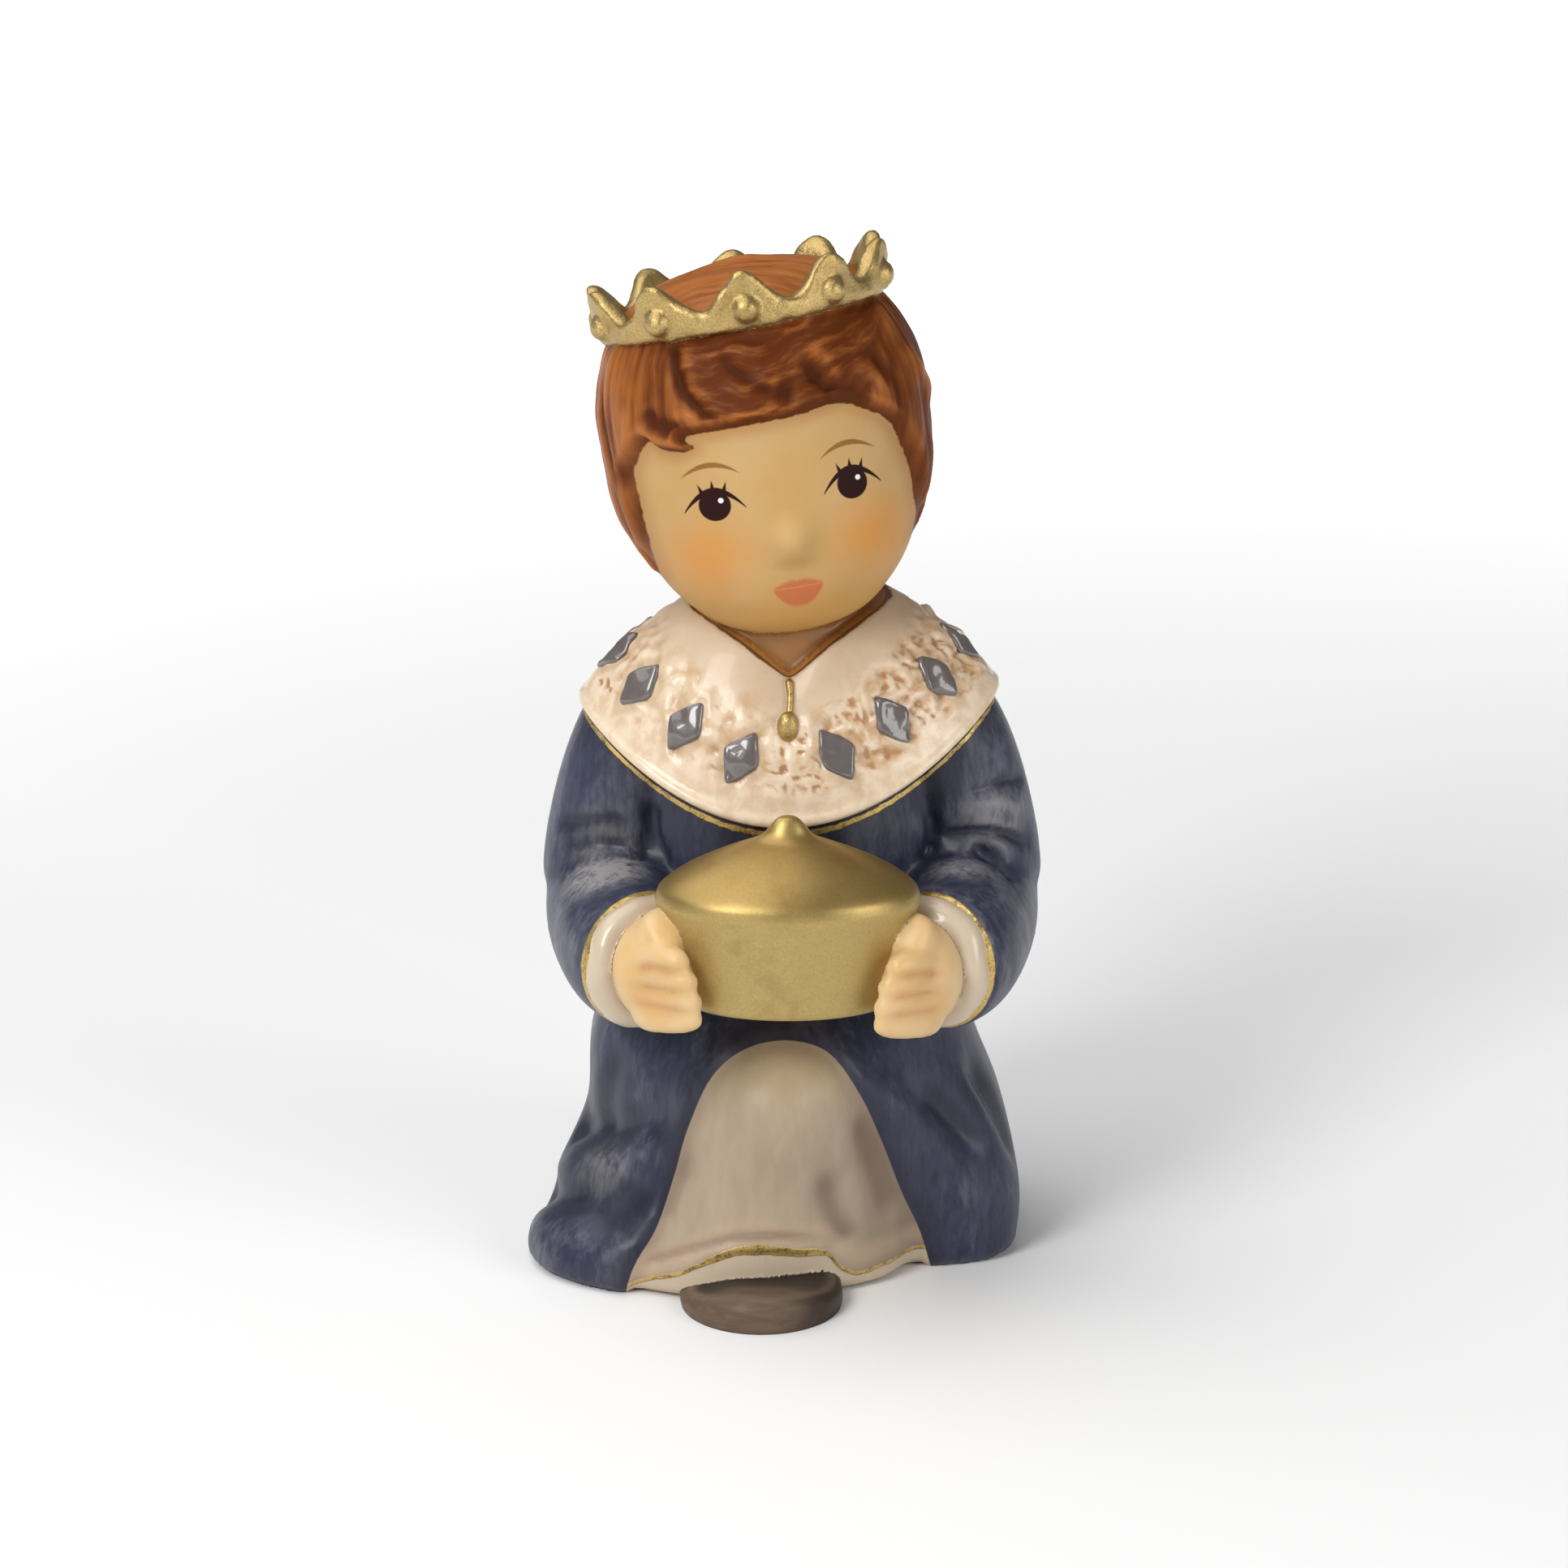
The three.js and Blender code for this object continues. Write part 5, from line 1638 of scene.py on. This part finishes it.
# %% Gold of the crown, the clasp and the vessel
CROWN_GOLD = palette(dark=(152, 125, 73), light=(202, 175, 116))
VESSEL_GOLD = palette(dark=(162, 138, 82), light=(184, 160, 100))
PATINA_AND_SHADE = palette(dents=(120, 92, 44), blotches=(134, 106, 56), lid=(128, 94, 46))
LID_HEIGHT = 34.6
NO_LID = 200


def paint_gold(name, gold, rough, grainy, metal, lid_from):
    paint = Paint(name)
    height = paint.apart()[2]
    speckle = paint.noise(7, 3, 0.7)
    clouds = paint.noise(0.35, 3)
    # painted shade in the dents and hollows, with brown there too
    dents = (paint.mark("hollow") * 6 + clouds * 0.6 + speckle * 0.5).ease(0.45, 1.3)
    colour = paint.mix(speckle.ease(0.2, 0.8), gold["dark"], gold["light"])
    colour = paint.mix(dents * 0.6, colour, PATINA_AND_SHADE["dents"])
    blotches = paint.noise(0.3, 4, 0.65).ease(0.5, 0.7)
    colour = paint.mix(blotches * 0.3, colour, PATINA_AND_SHADE["blotches"])
    brown = height.ease(lid_from, lid_from + 1) * (1 - height.ease(lid_from + 4, lid_from + 6))
    colour = paint.mix(brown * 0.35, colour, PATINA_AND_SHADE["lid"])
    on_lid = height.ease(lid_from - 1, lid_from)
    paint.lay(Base_Color=colour, Metallic=on_lid * 0.4 + metal, Roughness=rough + (clouds - 0.5) * 0.16)
    paint.bump(speckle * 0.4 + paint.noise(1.8, 3, 0.6), grainy)
    paint.tell(name)


paint_gold("crown", CROWN_GOLD, 0.33, 0.00008, 0.8, NO_LID)
paint_gold("vessel", VESSEL_GOLD, 0.42, 0.000006, 0.4, LID_HEIGHT)

# %% [markdown]
# The shoe is dark brown with dull glaze, with painted shade at its right and a painted shadow under the hem,
# and a painted highlight runs where its wall turns over into the top.

# %% Brown of the shoe
LEATHER = palette(dark=(94, 78, 65), light=(106, 89, 74), right=(56, 45, 38), rim=(136, 120, 104),
                  under_hem=(36, 30, 28))


def paint_shoe():
    paint = Paint("shoe", Roughness=0.5, Coat_Weight=0.08, Coat_Roughness=0.25, Specular_IOR_Level=0.15)
    level = paint.mark("level") + (paint.noise(1) - 0.5) * 0.06
    x, y, _ = paint.apart()
    fibres = paint.noise((0.5, 1.2, 2.2), 3)
    colour = paint.mix(fibres.ease(0.3, 0.7), LEATHER["dark"], LEATHER["light"])
    # painted shade on the right of the shoe
    colour = paint.mix(x.ease(-1, 3) * 0.9, colour, LEATHER["right"])
    # a painted highlight along the rim where the wall turns over
    colour = paint.mix(level.band(0.8, 0.9, 0.05) * 0.25, colour, LEATHER["rim"])
    # a painted shadow under the hem
    by_the_hem = level.ease(0.88, 0.96) * y.ease(-22.2, -18.8)
    paint.lay(Base_Color=paint.mix(by_the_hem * 0.9, colour, LEATHER["under_hem"]))
    paint.tell("shoe")


paint_shoe()

# %% [markdown]
# The face is a doll's, drawn for this lesson in the head's own frame: both halves are alike, so every
# stroke is worked out once from the distance to the middle line. A stroke is the inside of a distance,
# with an edge as soft as a fine brush leaves.

# %% Brushes for the face
BRUSH_EDGE = 0.05


def drawn(distance):
    """1 where a distance is below nought, with the soft edge of a fine brush."""
    return 1 - distance.ease(-BRUSH_EDGE, BRUSH_EDGE)


def arch(u, z, top, bow, width, end):
    """A stroke that arches over the eye and thins towards its ends."""
    thickness = width - u * u * 0.04
    return drawn(abs(z - (u * u * -bow + top)) - thickness) * (1 - abs(u).ease(end - 0.05, end + 0.05))


def patch(across, up, near, far):
    """A round patch of sprayed colour that fades out between two distances from its middle."""
    return 1 - (across * across + up * up).root().ease(near, far)

# %% Skin tones of the face
SKIN = palette(
    light=(190, 157, 110), deep=(186, 150, 98), middle=(184, 144, 88), chin=(184, 134, 68),
    cheek=(206, 136, 60), nose_tip=(222, 188, 130), under_nose=(160, 118, 62), shade=(164, 112, 64))


def face_skin(paint, x, z):
    wide = abs(x)
    colour = paint.mix(paint.noise(0.14).ease(0.3, 0.7), SKIN["light"], SKIN["deep"])
    # painted shade, warmer and darker, down the middle of the face below the eyes
    colour = paint.mix((1 - wide.ease(0.5, 5)) * (1 - z.ease(-3, 1)) * 0.6, colour, SKIN["middle"])
    # painted shade on the chin, darker towards the bottom
    colour = paint.mix((1 - z.ease(-14, -9.5)) * 0.6, colour, SKIN["chin"])
    colour = paint.mix(patch(wide - 6.5, (z + 8.1) * 1.095, 0.0, 5.4) * 0.66, colour, SKIN["cheek"])
    # a painted highlight on the nose
    colour = paint.mix(patch(x, z + 6.6, 0.2, 2) * 0.2, colour, SKIN["nose_tip"])
    # painted shade under the nose
    return paint.mix(patch(x * 0.5, (z + 9.1) * 1.414, 0.1, 1.3) * 0.35, colour, SKIN["under_nose"])

# %% Eyes, brows and mouth
EYE = {"x": 5.4, "z": -3.8, "radius": 1.22}
SPARK = {"x": 0.5, "z": 0.35, "radius": 0.2}
LID = {"top": -2.66, "bow": 0.28, "width": 0.28, "end": 2.35}
BROW = {"top": -0.62, "bow": 0.17, "width": 0.21, "end": 2.3}
LASHES = [-0.8, 0.0, 0.8]  # where each stands on the lid
LASH = {"length": 0.8, "lean": 0.375, "width": 0.2}
MOUTH = {"half": 2.05, "top": -10.48, "parting": -11.12, "bottom": -12.7}
LINES = palette(brow=(132, 88, 40), eye=(42, 20, 18), spark=(235, 232, 230), lip=(184, 106, 68),
                parting=(206, 144, 102))


def eye_strokes(u, z):
    """Iris, lid and lashes; u is the distance from the eye's middle towards the temple."""
    strokes = drawn((u * u + (z - EYE["z"]) ** 2).root() - EYE["radius"]).most(arch(u, z, **LID))
    for start in LASHES:
        rise = (z - (LID["top"] + 0.06) + LID["bow"] * start * start) / LASH["length"]
        off = abs(u - start - rise * (start * LASH["lean"]))
        strokes = strokes.most(drawn(off - (1 - rise) * LASH["width"]) * rise.band(0, 1, 0.02))
    return strokes


def lips(wide, z):
    """The two lips together, and the line where they part."""
    share = (wide / MOUTH["half"]).least(1)
    upper = share * share * -0.62 + MOUTH["top"] - share.band(-0.2, 0.1, 0.12) * 0.12
    lower = share ** 2.4 * 1.6 + MOUTH["bottom"]
    both = (upper - z).ease(-0.22, 0.2) * (z - lower).ease(-0.24, 0.22) * (1 - wide.ease(1.8, 2.15))
    return both, drawn(abs(z - (share * share * 0.02 + MOUTH["parting"])) - 0.05)


def face_colour(paint, x, y, z):
    front = (0 - y).ease(3, 4)
    u = abs(x) - EYE["x"]
    colour = paint.mix(arch(u, z, **BROW) * front * 0.9, face_skin(paint, x, z), LINES["brow"])
    mouth, parting = lips(abs(x), z)
    colour = paint.mix(mouth * front, colour, paint.mix(parting * 0.4, LINES["lip"], LINES["parting"]))
    colour = paint.mix(eye_strokes(u, z) * front, colour, LINES["eye"])
    aside = u * paint.math("SIGN", x) - SPARK["x"]
    spark = (aside ** 2 + (z - EYE["z"] - SPARK["z"]) ** 2).root()
    colour = paint.mix(drawn(spark - SPARK["radius"]) * front, colour, LINES["spark"])
    shade = (paint.mark("valley") * 1.5 + paint.mark("hollow") * 3).ease(0.5, 1.6)
    shade = (shade * 0.6).most(paint.mark("in_hair").ease(-1.4, 0.1) * 0.5)
    return paint.mix(shade, colour, SKIN["shade"])

# %% [markdown]
# Brown is brushed over the hair and wiped off again, so that the strands stand out light on a dark ground.
# The recesses, the edge and the right side also take painted shade, and a painted sheen lightens the left.
# The fine strands follow the same places as the carved ones, by the same sums, which now work with wires.

# %% Brown of the hair
BROWN = palette(dark=(90, 43, 16), light=(164, 98, 46), recess=(60, 27, 10), edge=(92, 48, 20))


def hair_strands(paint, x, y, z):
    reach = (x * x + y * y + 0.01).root() / HEAD_WIDTH
    places = [paint.together(*place) for place in flow_places(x, y, z, reach, paint.mark("wave"))]
    falling, fringe, dome = [paint.noise(3.6, 3, 0.6, place) for place in places]
    combed = falling + (fringe - falling) * paint.mark("sideways")
    return combed + (dome - combed) * z.ease(*DOME_EDGE)


def hair_colour(paint, fine, x, y, z):
    hollow, valley, pooled = paint.mark("hollow"), paint.mark("valley"), paint.mark("pooled")
    clouds, fringe = paint.noise(0.3), paint.mark("sideways")
    light = fine * (0.3 + fringe * 0.4) + clouds * 0.6 + paint.mark("combed") * 0.05 - pooled * 0.4
    # painted shade on the right side of the hair; lighter on the dome inside the crown
    light = light - hollow * 3 - fringe * 0.46 - x.ease(8, 12) * 0.2 + z.ease(*DOME_EDGE) * 0.62
    # a painted sheen on the left side of the hair
    light = (light + (1 - x.ease(-11, -7)) * 0.2 + 0.08).ease(0.15, 1.1)
    colour = paint.mix(light, BROWN["dark"], BROWN["light"])
    # the recesses take the brown that was left there and painted shade
    dark = (pooled * 0.8 + hollow * 5 + valley * 0.8 + (0.5 - fine) * 0.3).ease(0.15, 1.0)
    colour = paint.mix(dark * (fringe * 0.3 + 0.5 - y.ease(-2, 4) * 0.2), colour, BROWN["recess"])
    # painted shade along the edge of the hair
    edge = 1 - paint.mark("in_hair").ease(0.1, 0.7)
    return paint.mix(edge * 0.5, colour, BROWN["edge"]), light * 0.14


# %% The whole of the head
def paint_head():
    paint = Paint("head", Roughness=0.48, Coat_Roughness=0.16, Coat_IOR=1.4, Specular_IOR_Level=0.06)
    from_middle = paint.vector("SUBTRACT", paint.place, HEAD_MIDDLE)
    ways = [tuple(HEAD_TURN.col[i][:3]) for i in range(3)]
    x, y, z = [paint.vector("DOT_PRODUCT", from_middle, way, output=1) for way in ways]
    fine = hair_strands(paint, x, y, z)
    hair, shine = hair_colour(paint, fine, x, y, z)
    wobble = (paint.noise(1.2) - 0.5) * WOBBLE
    on_hair = (paint.mark("in_hair") + wobble).ease(-0.06, 0.06)
    paint.lay(Base_Color=paint.mix(on_hair, face_colour(paint, x, y, z), hair))
    paint.lay(Roughness=0.5 - on_hair * shine, Coat_Weight=on_hair * shine)
    paint.bump(paint.noise(6) * 0.25 * (1 - on_hair) + fine * on_hair * 0.25, 0.00012)
    paint.tell("head")


paint_head()

# %% [markdown]
# The figure stands on a plain pale floor that grows brighter with distance, as a lit sweep of paper does.
# A soft light stands to the front left, a weaker one to the right, and one hangs overhead, which is
# how small glazed figures are usually photographed.

# %% The floor
FLOOR_SIZE = 10
FLOOR_GLOW = [90, 420]  # millimetres from the middle, where the glow starts and where it is full


def floor():
    """A plane that glows a little more with distance, so that no edge shows."""
    deselect()
    bpy.ops.mesh.primitive_plane_add(size=FLOOR_SIZE)
    piece = named("floor")
    piece.data.materials.append(bpy.data.materials.new("floor"))
    paint = Paint("floor", Base_Color=(0.9, 0.9, 0.9, 1), Roughness=0.9, Emission_Strength=1)
    away = paint.vector("LENGTH", paint.place, output=1).ease(*FLOOR_GLOW)
    paint.lay(Emission_Color=paint.mix(away, (0, 0, 0, 1), (0.6, 0.6, 0.6, 1)))


floor()
print("the floor is", FLOOR_SIZE, "m wide")

# %% Lights
FIGURE_MIDDLE = (0, 0, 0.04)
LIGHTS = {  # place and size in metres, power in watts
    "key": [(-0.42, -0.58, 0.5), (0.3, 0.4), 4.3],
    "fill": [(0.6, -0.45, 0.3), (0.4, 0.4), 2.1],
    "overhead": [(-0.3, 0.05, 0.75), (0.9, 0.9), 5.0],
}
ROOM_LIGHT = 0.14


def light(name, at, size, power):
    """A soft square light that looks at the middle of the figure."""
    lamp = bpy.data.objects.new(name, bpy.data.lights.new(name, "AREA"))
    lamp.data.shape = "RECTANGLE"
    lamp.data.size, lamp.data.size_y = size
    lamp.data.energy = power
    lamp.location = at
    away = Vector(at) - Vector(FIGURE_MIDDLE)
    lamp.rotation_euler = away.to_track_quat("Z", "Y").to_euler()
    bpy.context.collection.objects.link(lamp)


for name, settings in LIGHTS.items():
    light(name, *settings)
world = bpy.data.worlds.new("studio")
world.use_nodes = True
world.node_tree.nodes["Background"].inputs["Color"].default_value = (1, 1, 1, 1)
world.node_tree.nodes["Background"].inputs["Strength"].default_value = ROOM_LIGHT
bpy.context.scene.world = world
bpy.context.scene.view_settings.view_transform = "Standard"
print(len(LIGHTS), "lights")

# %% [markdown]
# The photograph is taken from half a metre away with a long lens, a little from above, so that hardly any
# perspective shows.

# %% The camera
LENS = 142.5
CAMERA_TARGET = (-0.0004, 0, 0.03812)
CAMERA_DISTANCE = 0.5


def look():
    """The camera at the photograph's viewing angle."""
    camera = bpy.data.objects.new("camera", bpy.data.cameras.new("camera"))
    camera.data.lens = LENS
    camera.data.sensor_width = 36
    away = Vector((0, -math.cos(LOOK_DOWN), math.sin(LOOK_DOWN)))
    camera.location = Vector(CAMERA_TARGET) + CAMERA_DISTANCE * away
    camera.rotation_euler = (math.pi / 2 - LOOK_DOWN, 0, 0)
    bpy.context.collection.objects.link(camera)
    bpy.context.scene.camera = camera


look()
print("the camera looks down by", round(math.degrees(LOOK_DOWN)), "degrees")
